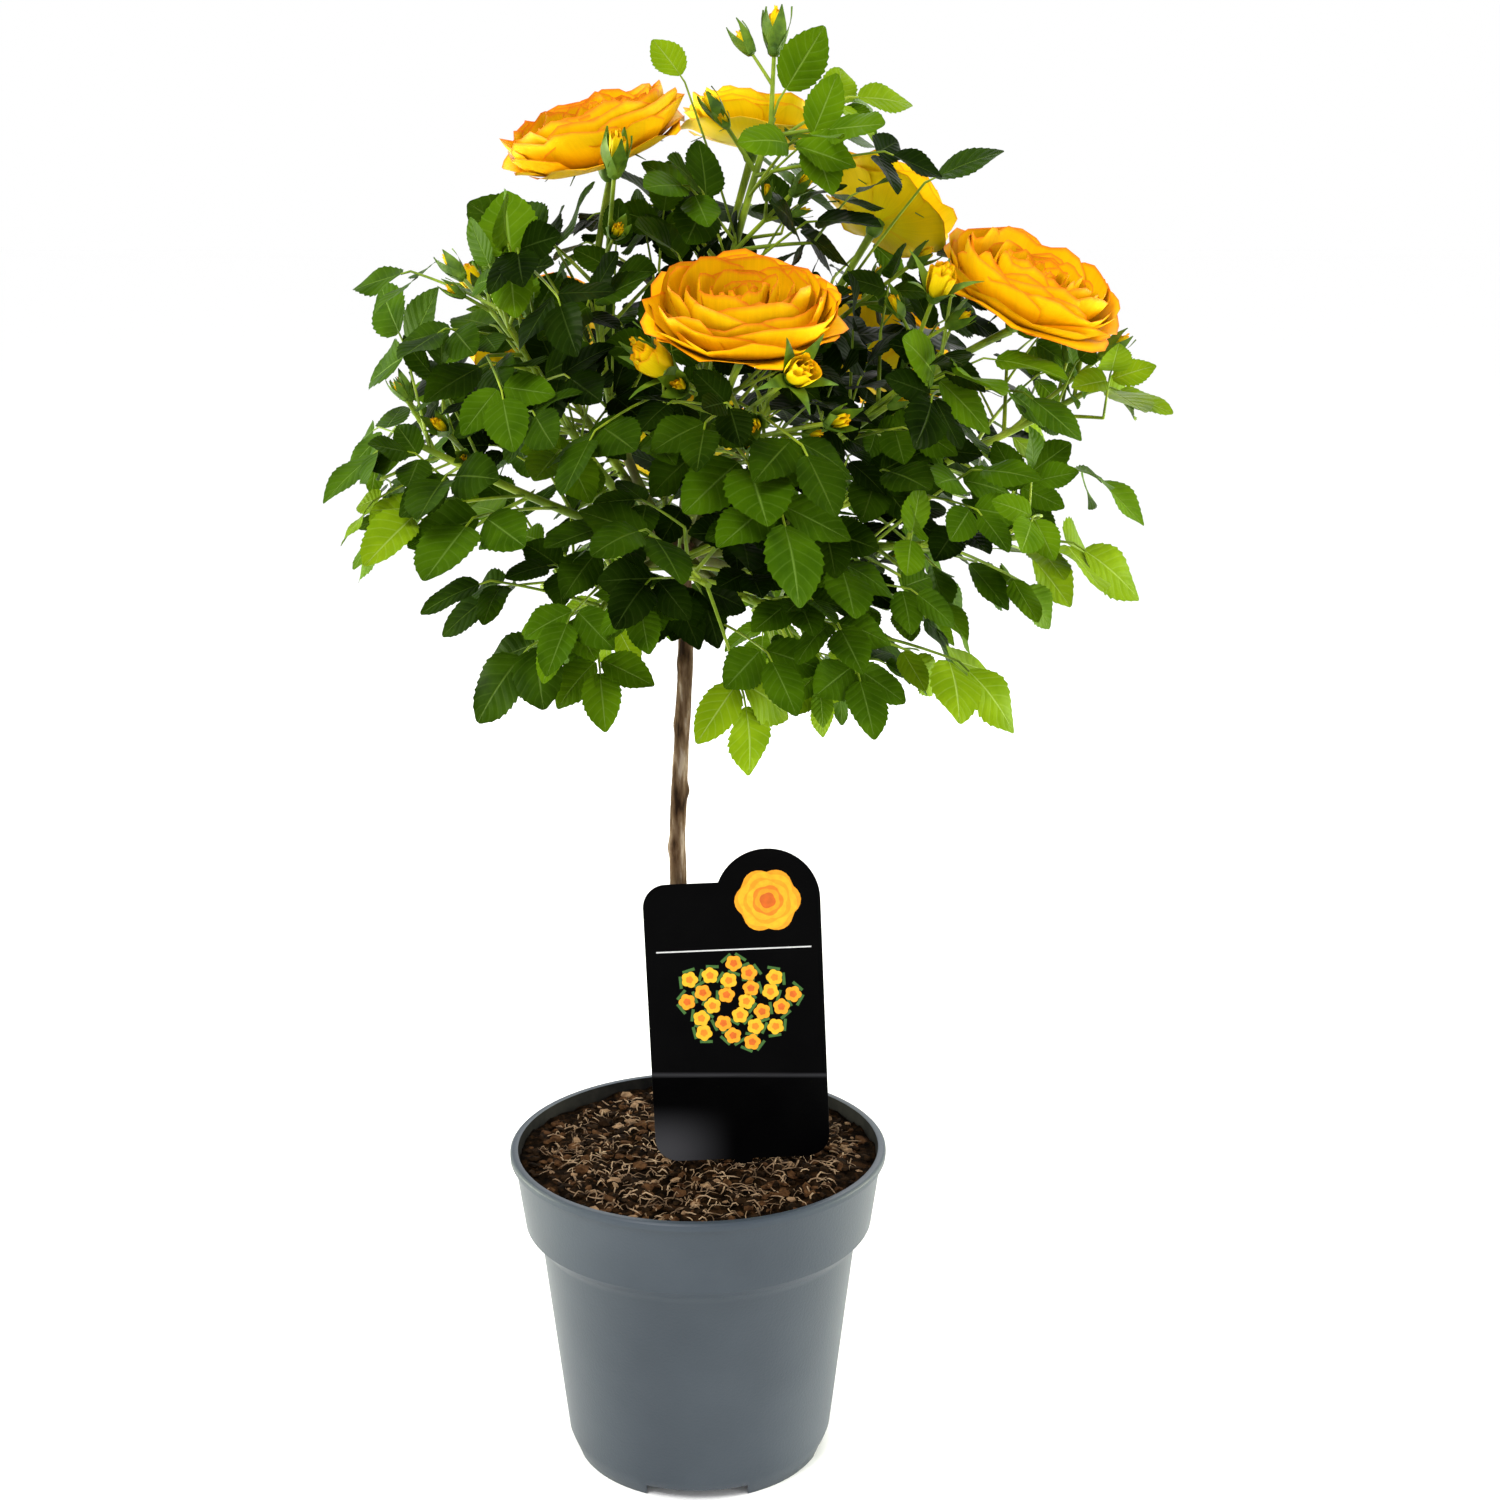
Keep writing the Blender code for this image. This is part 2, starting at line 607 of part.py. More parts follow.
class Path:
    """The line of one shoot, out of the graft along its heading and round to its tip."""

    def __init__(self, shoot):
        heading = math.radians(shoot.heading)
        climb = math.radians(shoot.climb)
        out = Vector((math.cos(heading) * math.cos(climb), math.sin(heading) * math.cos(climb),
                      math.sin(climb)))
        self.start = GRAFT + out * (GRAFT_RADIUS + 2 * GAP)
        self.end = millimetres(shoot.tip)
        self.control = self.start + out * SHOOT_CARRY * (self.end - self.start).length

    def at(self, share):
        """The point at a share of the line."""
        return bend(self.start, self.control, self.end, share)

    def heading_at(self, share):
        """The way that the line runs at a share of it."""
        return (self.at(min(share + 0.02, 1)) - self.at(share - 0.02)).normalized()

    def radius_at(self, share):
        """The limb's radius at a share of the line."""
        return BOUGH_RADIUS + (SHOOT_TIP_RADIUS - BOUGH_RADIUS) * share

    def stretch(self, first, last, count):
        """Points and radii of the limb between two shares of its line."""
        shares = [first + (last - first) * index / count for index in range(count + 1)]
        return [self.at(share) for share in shares], [self.radius_at(share) for share in shares]


paths = {shoot.name: Path(shoot) for shoot in SHOOTS}
masses = {shoot.name: [] for shoot in SHOOTS}


def mass_end(shoot):
    """How far along its line a shoot's mass goes: an open bloom takes the last stretch."""
    return BLOOM_SHARE if shoot.face else 1.0


def grow_limbs(shoot):
    """The bare bough and the stem of the mass that carries on from it."""
    path = paths[shoot.name]
    length = (path.end - path.start).length
    gap = (GAP + 0.0001) / length
    points, radii = path.stretch(0, BOUGH_SHARE, 4)
    limb("bough_" + shoot.name, points, radii, 6, GREEN_WOOD)
    claim(points, radii)
    points, radii = path.stretch(BOUGH_SHARE + gap, mass_end(shoot), 7)
    masses[shoot.name].append(limb_mesh("stem", points, radii, 4))
    claim(points, radii, shoot.name)


def facing(point):
    """The way a leaf's upper face looks: up and out of the crown."""
    out = point - GRAFT
    out.z = 0
    return (UP + FACE_OUT * out.normalized()).normalized()


def grow_lead(lead):
    """A leaf that reaches the crown's edge."""
    root = paths[lead.shoot].at(lead.place)
    tip = millimetres(lead.tip)
    settle(*compound_leaf(root, tip, lead.size * 0.001, lead.pairs, facing(tip)), lead.shoot)


def grow_bud(root, neck, length, twig_radius, name):
    """A bud on its twig: the neck is where the two meet."""
    along = (neck - root).normalized()
    tip = neck + along * length
    width = BUD_WIDTH * length
    room_radius = twig_radius + MARGIN
    pieces = [stick(root, neck + along * BUD_LAP * length, twig_radius, 0.8 * twig_radius, 4),
              bud(neck, tip, width)]
    wood = [stick(root + along * BOUGH_RADIUS, neck, room_radius, room_radius, 4)]
    rooms = [bud(neck, tip + along * MARGIN, width + 2 * MARGIN)]
    return settle(pieces, wood, rooms, name)


def grow_cluster(cluster, rng):
    """A side twig with a large bud at its end and two smaller ones that fork from it."""
    turn = rng.uniform(0, 2 * math.pi)
    root = paths[cluster.shoot].at(cluster.place)
    tip = millimetres(cluster.tip)
    length = cluster.length * 0.001
    along = (tip - root).normalized()
    neck = tip - along * length
    if not grow_bud(root, neck, length, BUD_TWIG_RADIUS, cluster.shoot):
        return
    fork = root.lerp(neck, FORK_SHARE)
    side = along.orthogonal().normalized()
    small = SIDE_BUD_SIZE * length
    for index in range(2):
        out = Matrix.Rotation(turn + math.pi * index, 3, along) @ side
        heading = FORK_ALONG * along + FORK_OUT * out
        grow_bud(fork, fork + heading * SIDE_BUD_STALK * small, small, 0.75 * BUD_TWIG_RADIUS,
                 cluster.shoot)


def distance_to(path, point):
    """Distance from a point to the leafy stretch of a shoot."""
    return min((path.at(share) - point).length for share in LEAFY_SHARES)


def in_reach(point, shoot):
    """True where a point is inside the crown and in its own mass's space."""
    off = point - CROWN_CENTRE
    if sum((off[axis] / CROWN_REACH[axis]) ** 2 for axis in range(3)) > 1:
        return False
    own = distance_to(paths[shoot.name], point)
    others = [distance_to(path, point) for name, path in paths.items() if name != shoot.name]
    return own < min(others) + SHARED_DEPTH


def grow_leaf(shoot, joint, rng):
    """One leaf at a joint, turned on from the joint before it until it finds room."""
    path = paths[shoot.name]
    last = mass_end(shoot) - 0.02
    place = FIRST_LEAF_SHARE + (last - FIRST_LEAF_SHARE) * (joint + 0.5) / shoot.joints
    draws = [(rng.uniform(-0.5, 0.5), rng.uniform(-0.2, 0.5), rng.uniform(0.86, 1.12),
              rng.random(), rng.uniform(-0.5, 0.5), rng.uniform(-0.5, 0.5))
             for _ in range(TRIES)]
    root = path.at(place)
    heading = path.heading_at(place)
    side = heading.orthogonal().normalized()
    for attempt, (turn, rise, growth, kind, roll_x, roll_y) in enumerate(draws):
        angle = GOLDEN_TURN * joint + turn + attempt * TRY_TURN
        out = Matrix.Rotation(angle, 3, heading) @ side
        aim = (out + heading * (LEAF_FORWARD + rise) + UP * LEAF_RISE).normalized()
        size = LEAF_SIZE * growth * (1 - TRY_SHRINK * attempt)
        pairs = 2 if kind < TWO_PAIR_SHARE else 1
        tip = root + aim * size * (LEAF_STALK + PAIR_STALK * pairs) - UP * LEAF_SAG * size
        if not in_reach(tip, shoot):
            continue
        face = (facing(tip) + Vector((roll_x, roll_y, 0))).normalized()
        if settle(*compound_leaf(root, tip, size, pairs, face), shoot.name):
            return


# ---------------------------------------------------------------- blooms

def bloom_shape(base, face, radius):
    """Overlapping whorls of five petals as one solid, its foot at base and open towards face."""
    profile = [(0.0, 0.0), (0.80, 0.17)]
    for edge, height in TIERS:
        profile.append((edge, height))
        profile.append((edge - TIER_STEP, height + TIER_LIP))
    profile += [(0.25, 0.97), (0.0, 0.88)]
    shape = bmesh.new()
    corners = [shape.verts.new((share * radius, 0, height * radius)) for share, height in profile]
    edges = [shape.edges.new(pair) for pair in zip(corners, corners[1:])]
    bmesh.ops.spin(shape, geom=corners + edges, cent=(0, 0, 0), axis=(0, 0, 1),
                   angle=2 * math.pi, steps=PETAL_STEPS, use_merge=True)
    bmesh.ops.remove_doubles(shape, verts=shape.verts[:], dist=0.00001)
    for vert in shape.verts:
        share = math.hypot(vert.co.x, vert.co.y) / radius
        if share < 0.2:
            continue
        tier = min(range(len(TIERS)), key=lambda row: abs(TIERS[row][1] - vert.co.z / radius))
        angle = math.atan2(vert.co.y, vert.co.x) + tier * 2 * math.pi / PETAL_STEPS
        lobe = abs(math.cos(2.5 * angle))
        vert.co.x *= 1.03 - PETAL_DIP * (1 - lobe)
        vert.co.y *= 1.03 - PETAL_DIP * (1 - lobe)
        vert.co.z += (0.5 - lobe) * PETAL_WAVE * radius * share
    bmesh.ops.recalc_face_normals(shape, faces=shape.faces[:])
    turn = UP.rotation_difference(face).to_matrix().to_4x4()
    turn.translation = base
    shape.transform(turn)
    return shape


def bloom_parts(shoot):
    """The pedicel from the end of the mass's stem, the hip under the bloom, and the bloom."""
    path = paths[shoot.name]
    face = Vector(shoot.face).normalized()
    start = path.at(BLOOM_SHARE) + path.heading_at(BLOOM_SHARE) * (GAP + 0.0001)
    hip_foot = path.end - face * 0.55 * HIP_LENGTH
    inside = path.end + face * 0.27 * HIP_LENGTH
    sway = start.lerp(hip_foot, 0.5) + path.heading_at(BLOOM_SHARE) * 0.4 * HIP_LENGTH
    points = [bend(start, sway, hip_foot, step / 3) for step in range(4)] + [inside]
    first = path.radius_at(BLOOM_SHARE)
    radii = [first] * 3 + [1.15 * first, 2.2 * first]
    hip = bud(hip_foot, hip_foot + face * HIP_LENGTH, HIP_WIDTH)
    return [bloom_shape(path.end, face, shoot.bloom * 0.001),
            limb_mesh("pedicel", points, radii, 4), hip]


def claim_bloom(shoot):
    """Claims the room of an open bloom and its pedicel."""
    path = paths[shoot.name]
    face = Vector(shoot.face).normalized()
    radius = shoot.bloom * 0.001
    room = bmesh.new()
    bmesh.ops.create_uvsphere(room, u_segments=12, v_segments=8, radius=1)
    room.transform(Matrix.Diagonal((1.08 * radius, 1.08 * radius, 0.62 * radius, 1)))
    turn = UP.rotation_difference(face).to_matrix().to_4x4()
    turn.translation = path.end + face * 0.5 * radius
    room.transform(turn)
    claims.append(shape_claim(room, None))
    room.free()
    points, radii = path.stretch(BLOOM_SHARE, 0.98, 3)
    claim(points, [width + 2 * MARGIN for width in radii])


# ---------------------------------------------------------------- joining


def fuse(name, shapes, finish):
    """Joins closed shapes into one solid by one union on a collection."""
    crowd = bpy.data.collections.new(name + "_pieces")
    bpy.context.scene.collection.children.link(crowd)
    members = []
    for index, shape in enumerate(shapes):
        mesh = bpy.data.meshes.new(f"{name}_{index}")
        if shape.calc_volume(signed=True) < 0:
            bmesh.ops.reverse_faces(shape, faces=shape.faces[:])
        shape.to_mesh(mesh)
        shape.free()
        members.append(bpy.data.objects.new(f"{name}_{index}", mesh))
    for member in members[1:]:
        crowd.objects.link(member)
    body = members[0]
    parts.objects.link(body)
    union = body.modifiers.new("union", "BOOLEAN")
    union.operation = "UNION"
    union.operand_type = "COLLECTION"
    union.collection = crowd
    union.solver = UNION_SOLVER
    bpy.context.view_layer.update()
    evaluated = body.evaluated_get(bpy.context.evaluated_depsgraph_get())
    mesh = bpy.data.meshes.new_from_object(evaluated)
    mesh.name = name
    for member in members:
        bpy.data.objects.remove(member, do_unlink=True)
    bpy.data.collections.remove(crowd)
    keep_outside(mesh)
    return place_mesh(name, mesh, finish)


def keep_outside(mesh):
    """Fills any hollow that fusing sealed and drops any loose scrap: only the main skin stays."""
    shape = bmesh.new()
    shape.from_mesh(mesh)
    loose = set(shape.verts)
    skins = []
    while loose:
        skin = set()
        front = [loose.pop()]
        while front:
            vert = front.pop()
            skin.add(vert)
            for edge in vert.link_edges:
                other = edge.other_vert(vert)
                if other in loose:
                    loose.remove(other)
                    front.append(other)
        skins.append(skin)
    skins.sort(key=len)
    for scrap in skins[:-1]:
        bmesh.ops.delete(shape, geom=list(scrap), context="VERTS")
    shape.to_mesh(mesh)
    shape.free()


# ---------------------------------------------------------------- assembly


def grow_crown():
    """Limbs first, then blooms, leaves at the edge, buds, and the other leaves turn by turn."""
    for shoot in SHOOTS:
        grow_limbs(shoot)
    for shoot in SHOOTS:
        if shoot.face:
            claim_bloom(shoot)
    for lead in LEADS:
        grow_lead(lead)
    rng = random.Random(SEED)
    for cluster in CLUSTERS:
        grow_cluster(cluster, rng)
    for joint in range(max(shoot.joints for shoot in SHOOTS)):
        for shoot in SHOOTS:
            if joint < shoot.joints:
                grow_leaf(shoot, joint, rng)
    for shoot in SHOOTS:
        fuse("mass_" + shoot.name, masses[shoot.name], FOLIAGE)
        if shoot.face:
            fuse("bloom_" + shoot.name, bloom_parts(shoot), PETALS)


make_pot()
make_soil()
make_label()
make_trunk()
grow_crown()
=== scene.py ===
"""Potted standard rose: its looks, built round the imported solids."""
import math
import random
from collections import defaultdict, namedtuple

import bmesh
import bpy
from mathutils import Matrix, Vector, noise
from mathutils.bvhtree import BVHTree


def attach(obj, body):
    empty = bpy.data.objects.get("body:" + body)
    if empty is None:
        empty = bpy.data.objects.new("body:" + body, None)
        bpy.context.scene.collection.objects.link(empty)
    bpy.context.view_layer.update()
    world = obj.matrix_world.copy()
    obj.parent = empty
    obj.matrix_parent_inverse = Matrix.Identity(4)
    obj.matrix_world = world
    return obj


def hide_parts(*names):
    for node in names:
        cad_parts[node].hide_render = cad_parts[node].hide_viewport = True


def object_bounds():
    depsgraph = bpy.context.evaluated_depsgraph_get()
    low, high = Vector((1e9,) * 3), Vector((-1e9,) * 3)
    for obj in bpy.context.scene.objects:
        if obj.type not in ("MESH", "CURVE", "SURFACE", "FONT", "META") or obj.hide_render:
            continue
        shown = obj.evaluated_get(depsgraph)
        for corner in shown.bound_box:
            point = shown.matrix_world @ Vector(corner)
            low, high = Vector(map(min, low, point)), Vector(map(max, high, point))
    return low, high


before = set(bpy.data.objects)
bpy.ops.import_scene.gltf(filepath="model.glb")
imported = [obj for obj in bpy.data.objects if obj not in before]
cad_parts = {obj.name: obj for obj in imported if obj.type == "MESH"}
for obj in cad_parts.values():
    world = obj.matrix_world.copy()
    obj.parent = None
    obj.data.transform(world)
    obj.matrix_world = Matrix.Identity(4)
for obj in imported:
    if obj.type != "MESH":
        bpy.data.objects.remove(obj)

solid_box = [list(corner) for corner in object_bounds()]

# ------------------------------------------------------------------ studio
# A pale floor under soft light: a large key light from the upper left, a weaker one from the
# right, and one from behind that lifts the leaf edges. The camera looks down a little.

eye = bpy.data.objects.new("eye", bpy.data.cameras.new("eye"))
eye.location = (0.0193, -0.7616, 0.4534)
eye.rotation_euler = (math.radians(76.5), 0, 0)
eye.data.sensor_width = 36
eye.data.lens = 52.56
eye.data.clip_start = 0.01
bpy.context.scene.collection.objects.link(eye)
bpy.context.scene.camera = eye


def soft_light(name, place, aim, size, power, tint=(1, 1, 1)):
    """A square panel light aimed at a point."""
    panel = bpy.data.objects.new(name, bpy.data.lights.new(name, "AREA"))
    panel.data.shape = "SQUARE"
    panel.data.size = size
    panel.data.energy = power
    panel.data.color = tint
    panel.location = place
    panel.rotation_euler = (Vector(place) - Vector(aim)).to_track_quat("Z", "Y").to_euler()
    bpy.context.scene.collection.objects.link(panel)


soft_light("key", (-0.60, -1.10, 1.70), (0, 0, 0.34), 0.7, 26)
soft_light("fill", (1.30, -0.70, 0.70), (0, 0, 0.30), 0.9, 5)
soft_light("back", (0.30, 1.30, 1.20), (0, 0, 0.36), 0.9, 10)
soft_light("left_edge", (-1.20, 0.35, 0.25), (0, 0, 0.10), 0.6, 24, (0.97, 1.0, 0.76))
soft_light("right_edge", (1.20, 0.35, 0.25), (0, 0, 0.10), 0.6, 24, (0.97, 1.0, 0.76))

sky = bpy.data.worlds.new("studio")
sky.use_nodes = True
sky.node_tree.nodes["Background"].inputs["Color"].default_value = (1, 1, 1, 1)
sky.node_tree.nodes["Background"].inputs["Strength"].default_value = 1.0
bpy.context.scene.world = sky
bpy.context.scene.view_settings.view_transform = "Standard"

ground = bmesh.new()
bmesh.ops.create_grid(ground, x_segments=1, y_segments=1, size=40)
ground_mesh = bpy.data.meshes.new("floor")
ground.to_mesh(ground_mesh)
ground.free()
paper = bpy.data.materials.new("floor_paper")
paper.use_nodes = True
paper.node_tree.nodes["Principled BSDF"].inputs["Base Color"].default_value = (1, 1, 1, 1)
paper.node_tree.nodes["Principled BSDF"].inputs["Roughness"].default_value = 0.9
ground_mesh.materials.append(paper)
floor = bpy.data.objects.new("floor", ground_mesh)
bpy.context.scene.collection.objects.link(floor)

# ------------------------------------------------------------------ pot
# A thin nursery pot of slate-grey polypropylene, moulded in one: a small lip, a wide band that
# the lip stiffens, a shoulder, and four feet with gaps between them for the water.

POT_RIM_RADIUS = 0.0700
POT_HEIGHT = 0.1200
POT_WALL = 0.0017
LIP_HEIGHT = 0.0028
LIP_ROUND = 0.0008
BAND_TOP_RADIUS = 0.0688
BAND_FOOT_RADIUS = 0.0648
BAND_HEIGHT = 0.0286
BAND_FOOT = POT_HEIGHT - BAND_HEIGHT
BAND_INSET = 0.0024
WALL_TOP_RADIUS = 0.0590
WALL_FOOT_RADIUS = 0.0500
WALL_FOOT_HEIGHT = 0.0080
SHOULDER_FOOT = BAND_FOOT - 0.0070
KNEE_RADIUS = 0.0622
KNEE_DROP = 0.0025
FOOT_RADIUS = 0.0470
FOOT_WIDTH = 0.0028
FOOT_TAPER = 0.0016
NOTCH_WIDTH = 0.0370
NOTCH_HEIGHT = 0.0046
NOTCH_START = 0.0300
FLOOR_HEIGHT = 0.0055
FLOOR_TOP = FLOOR_HEIGHT + POT_WALL
FLOOR_ROUND = 0.0034
PAD_RADIUS = 0.0110
MOULDED_EDGE = 0.0004


def grain_of(finish, size, depth, stretch=(1, 1, 1), kind="Object"):
    """Soft noise over a finish: the size of its patches, how fine it goes, and its stretch."""
    nodes, links = finish.node_tree.nodes, finish.node_tree.links
    place = nodes.new("ShaderNodeTexCoord")
    fit = nodes.new("ShaderNodeMapping")
    fit.inputs["Scale"].default_value = stretch
    links.new(place.outputs[kind], fit.inputs["Vector"])
    grain = nodes.new("ShaderNodeTexNoise")
    grain.inputs["Scale"].default_value = 1 / size
    grain.inputs["Detail"].default_value = depth
    links.new(fit.outputs["Vector"], grain.inputs["Vector"])
    return grain.outputs["Fac"]


def raised(finish, height, relief, strength=1.0):
    """Raises a finish's surface where a pattern is high."""
    nodes, links = finish.node_tree.nodes, finish.node_tree.links
    bump = nodes.new("ShaderNodeBump")
    bump.inputs["Strength"].default_value = strength
    bump.inputs["Distance"].default_value = relief
    links.new(height, bump.inputs["Height"])
    links.new(bump.outputs["Normal"], nodes["Principled BSDF"].inputs["Normal"])


def mottled(name, tones, patch, roughness, grain=0.001, relief=0.0, stretch=(1, 1, 1),
            shine=0.2):
    """A finish whose colour wanders through its tones in patches, over a fine raised grain.

    Patch, grain and relief are sizes in metres.
    """
    finish = bpy.data.materials.new(name)
    finish.use_nodes = True
    nodes, links = finish.node_tree.nodes, finish.node_tree.links
    shader = nodes["Principled BSDF"]
    shader.inputs["Roughness"].default_value = roughness
    shader.inputs["Specular IOR Level"].default_value = shine
    ramp = nodes.new("ShaderNodeValToRGB")
    for index, tone in enumerate(tones):
        spot = 0.32 + 0.36 * index / max(len(tones) - 1, 1)
        stops = ramp.color_ramp.elements
        stop = stops[index] if index < 2 else stops.new(spot)
        stop.position = spot
        stop.color = (*tone, 1)
    links.new(grain_of(finish, patch, 6, stretch), ramp.inputs["Fac"])
    links.new(ramp.outputs["Color"], shader.inputs["Base Color"])
    if relief:
        raised(finish, grain_of(finish, grain, 4, stretch), relief)
    return finish


def piece_of(name, shape, finishes, smooth=None):
    """Makes a finished piece from a bmesh. Smooth is the angle in degrees that stays sharp."""
    mesh = bpy.data.meshes.new(name)
    shape.to_mesh(mesh)
    shape.free()
    for finish in finishes:
        mesh.materials.append(finish)
    if smooth is not None:
        mesh.shade_smooth()
        mesh.set_sharp_from_angle(angle=math.radians(smooth))
    piece = bpy.data.objects.new(name, mesh)
    bpy.context.scene.collection.objects.link(piece)
    return piece


def baked(piece):
    """Applies a piece's modifiers."""
    bpy.context.view_layer.update()
    seen = piece.evaluated_get(bpy.context.evaluated_depsgraph_get())
    mesh = bpy.data.meshes.new_from_object(seen)
    piece.modifiers.clear()
    piece.data = mesh
    return piece


def spun(profile, steps):
    """Turns a profile of (radius, height) points about the upright axis into a closed shell."""
    shape = bmesh.new()
    corners = [shape.verts.new((radius, 0, height)) for radius, height in profile]
    edges = [shape.edges.new(pair) for pair in zip(corners, corners[1:])]
    bmesh.ops.spin(shape, geom=corners + edges, cent=(0, 0, 0), axis=(0, 0, 1),
                   angle=2 * math.pi, steps=steps, use_merge=True)
    bmesh.ops.remove_doubles(shape, verts=shape.verts[:], dist=0.00001)
    bmesh.ops.recalc_face_normals(shape, faces=shape.faces[:])
    return shape


def wall_radius(height, inset):
    """Radius of the lower wall at a height, less an inset."""
    share = (height - WALL_FOOT_HEIGHT) / (SHOULDER_FOOT - WALL_FOOT_HEIGHT)
    return WALL_FOOT_RADIUS + (WALL_TOP_RADIUS - WALL_FOOT_RADIUS) * share - inset


def band_radius(height, inset):
    """Radius of the band at a height, less an inset."""
    share = (height - BAND_FOOT) / BAND_HEIGHT
    return BAND_FOOT_RADIUS + (BAND_TOP_RADIUS - BAND_FOOT_RADIUS) * share - inset


lip_foot = POT_HEIGHT - LIP_HEIGHT
floor_round = FLOOR_TOP + FLOOR_ROUND
pot_shell = piece_of("pot_shell", spun([
    (0, FLOOR_TOP),
    (FOOT_RADIUS - FLOOR_ROUND, FLOOR_TOP),
    (wall_radius(floor_round, POT_WALL), floor_round),
    (wall_radius(SHOULDER_FOOT, POT_WALL), SHOULDER_FOOT),
    (band_radius(BAND_FOOT, BAND_INSET), BAND_FOOT),
    (band_radius(POT_HEIGHT, POT_WALL), POT_HEIGHT),
    (POT_RIM_RADIUS - LIP_ROUND, POT_HEIGHT),
    (POT_RIM_RADIUS, POT_HEIGHT - LIP_ROUND),
    (POT_RIM_RADIUS, lip_foot),
    (band_radius(lip_foot, 0), lip_foot),
    (band_radius(BAND_FOOT, 0), BAND_FOOT),
    (KNEE_RADIUS, BAND_FOOT - KNEE_DROP),
    (WALL_TOP_RADIUS, SHOULDER_FOOT),
    (WALL_FOOT_RADIUS, WALL_FOOT_HEIGHT),
    (FOOT_RADIUS, 0),
    (FOOT_RADIUS - FOOT_WIDTH, 0),
    (FOOT_RADIUS - FOOT_WIDTH - FOOT_TAPER, FLOOR_HEIGHT),
    (PAD_RADIUS + FOOT_TAPER, FLOOR_HEIGHT),
    (PAD_RADIUS, 0),
    (0, 0),
], 96), [mottled("slate_plastic", [(0.023, 0.033, 0.046), (0.029, 0.040, 0.054),
                                   (0.037, 0.049, 0.064)],
                 0.060, 0.45, 0.0009, 0.00007, shine=0.3)], 40)

notches = bmesh.new()
for quarter in range(4):
    turn = Matrix.Rotation(quarter * math.pi / 2, 4, "Z")
    middle = Matrix.Translation(((NOTCH_START + POT_RIM_RADIUS) / 2, 0, 0))
    size = Matrix.Diagonal((POT_RIM_RADIUS - NOTCH_START, NOTCH_WIDTH, 2 * NOTCH_HEIGHT, 1))
    bmesh.ops.create_cube(notches, size=1, matrix=turn @ middle @ size)
notch_tool = piece_of("notch_tool", notches, [])
cut = pot_shell.modifiers.new("notches", "BOOLEAN")
cut.operation = "DIFFERENCE"
cut.object = notch_tool
edge_round = pot_shell.modifiers.new("soft_edges", "BEVEL")
edge_round.width = MOULDED_EDGE
edge_round.segments = 2
edge_round.limit_method = "ANGLE"
edge_round.angle_limit = math.radians(35)
baked(pot_shell)
pot_shell.data.set_sharp_from_angle(angle=math.radians(40))
bpy.data.objects.remove(notch_tool, do_unlink=True)

# The inside wall, painted dark as shade where it shows above the soil.
pot_shell.data.materials.append(mottled(
    "painted_shade_inside", [(0.002, 0.002, 0.002), (0.009, 0.008, 0.007)], 0.006, 0.6, shine=0.05))
for face in pot_shell.data.polygons:
    out = Vector((face.center.x, face.center.y, 0)).normalized()
    if face.center.z > FLOOR_TOP and face.normal.dot(out) < -0.9:
        face.material_index = 1
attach(pot_shell, "root")
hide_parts("pot")

# ------------------------------------------------------------------ soil
# Moist peat that fills the pot to just under the lip: a crumbly dark-brown top with chips of
# bark and pale root fibres lying in it.

UP = Vector((0, 0, 1))
SOIL_HEIGHT = 0.1165
SOIL_SKIRT = 0.0120
SOIL_DROP = 0.0012
SOIL_EDGE = band_radius(SOIL_HEIGHT, POT_WALL) - 0.0002
SOIL_RINGS = 60
FIBRES = 760
CHIPS = 950
LITTER_SEED = 3

# Crumbs of three sizes: how many to the metre, and their height.
CRUMBS = ((130, 0.0014), (330, 0.0012), (900, 0.0006))

crumb = spun([(SOIL_EDGE * ring / SOIL_RINGS, SOIL_HEIGHT) for ring in range(SOIL_RINGS + 1)]
             + [(SOIL_EDGE, SOIL_HEIGHT - SOIL_SKIRT)], 150)
for vert in crumb.verts:
    if vert.co.z < SOIL_HEIGHT - SOIL_SKIRT / 2:
        continue
    share = math.hypot(vert.co.x, vert.co.y) / SOIL_EDGE
    lumps = sum(noise.noise(vert.co * count) * height for count, height in CRUMBS)
    vert.co.z += lumps - SOIL_DROP * share ** 3
bmesh.ops.recalc_face_normals(crumb, faces=crumb.faces[:])
soil_top = piece_of("soil_top", crumb, [mottled(
    "peat", [(0.001, 0.0004, 0.0001), (0.006, 0.003, 0.001), (0.028, 0.013, 0.005)],
    0.0030, 0.95, 0.0009, 0.0008, shine=0.02)], 180)
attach(soil_top, "root")
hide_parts("soil")


def soil_spot(draw, edge):
    """A random place on the soil's top, a little way in from the pot."""
    turn = draw.uniform(0, 2 * math.pi)
    reach = math.sqrt(draw.random()) * (SOIL_EDGE - edge)
    height = SOIL_HEIGHT - SOIL_DROP * (reach / SOIL_EDGE) ** 3
    return Vector((reach * math.cos(turn), reach * math.sin(turn), height))


draw = random.Random(LITTER_SEED)
noise.seed_set(LITTER_SEED)
litter = bmesh.new()
for index in range(CHIPS):
    size = draw.uniform(0.0005, 0.0022)
    spot = soil_spot(draw, 0.003)
    tip = Matrix.Rotation(draw.uniform(-0.7, 0.7), 4, "X")
    turn = Matrix.Rotation(draw.uniform(0, 6.3), 4, "Z")
    flat = Matrix.Diagonal((size * draw.uniform(0.8, 1.7), size, size * 0.55, 1))
    chip = bmesh.ops.create_icosphere(
        litter, subdivisions=1, radius=1,
        matrix=Matrix.Translation(spot + UP * size * 0.2) @ turn @ tip @ flat)
    tone = draw.choice((0, 0, 0, 0, 1, 1, 1, 2))
    for vert in chip["verts"]:
        vert.co += noise.noise_vector(vert.co * 900) * size * 0.35
        for face in vert.link_faces:
            face.material_index = tone
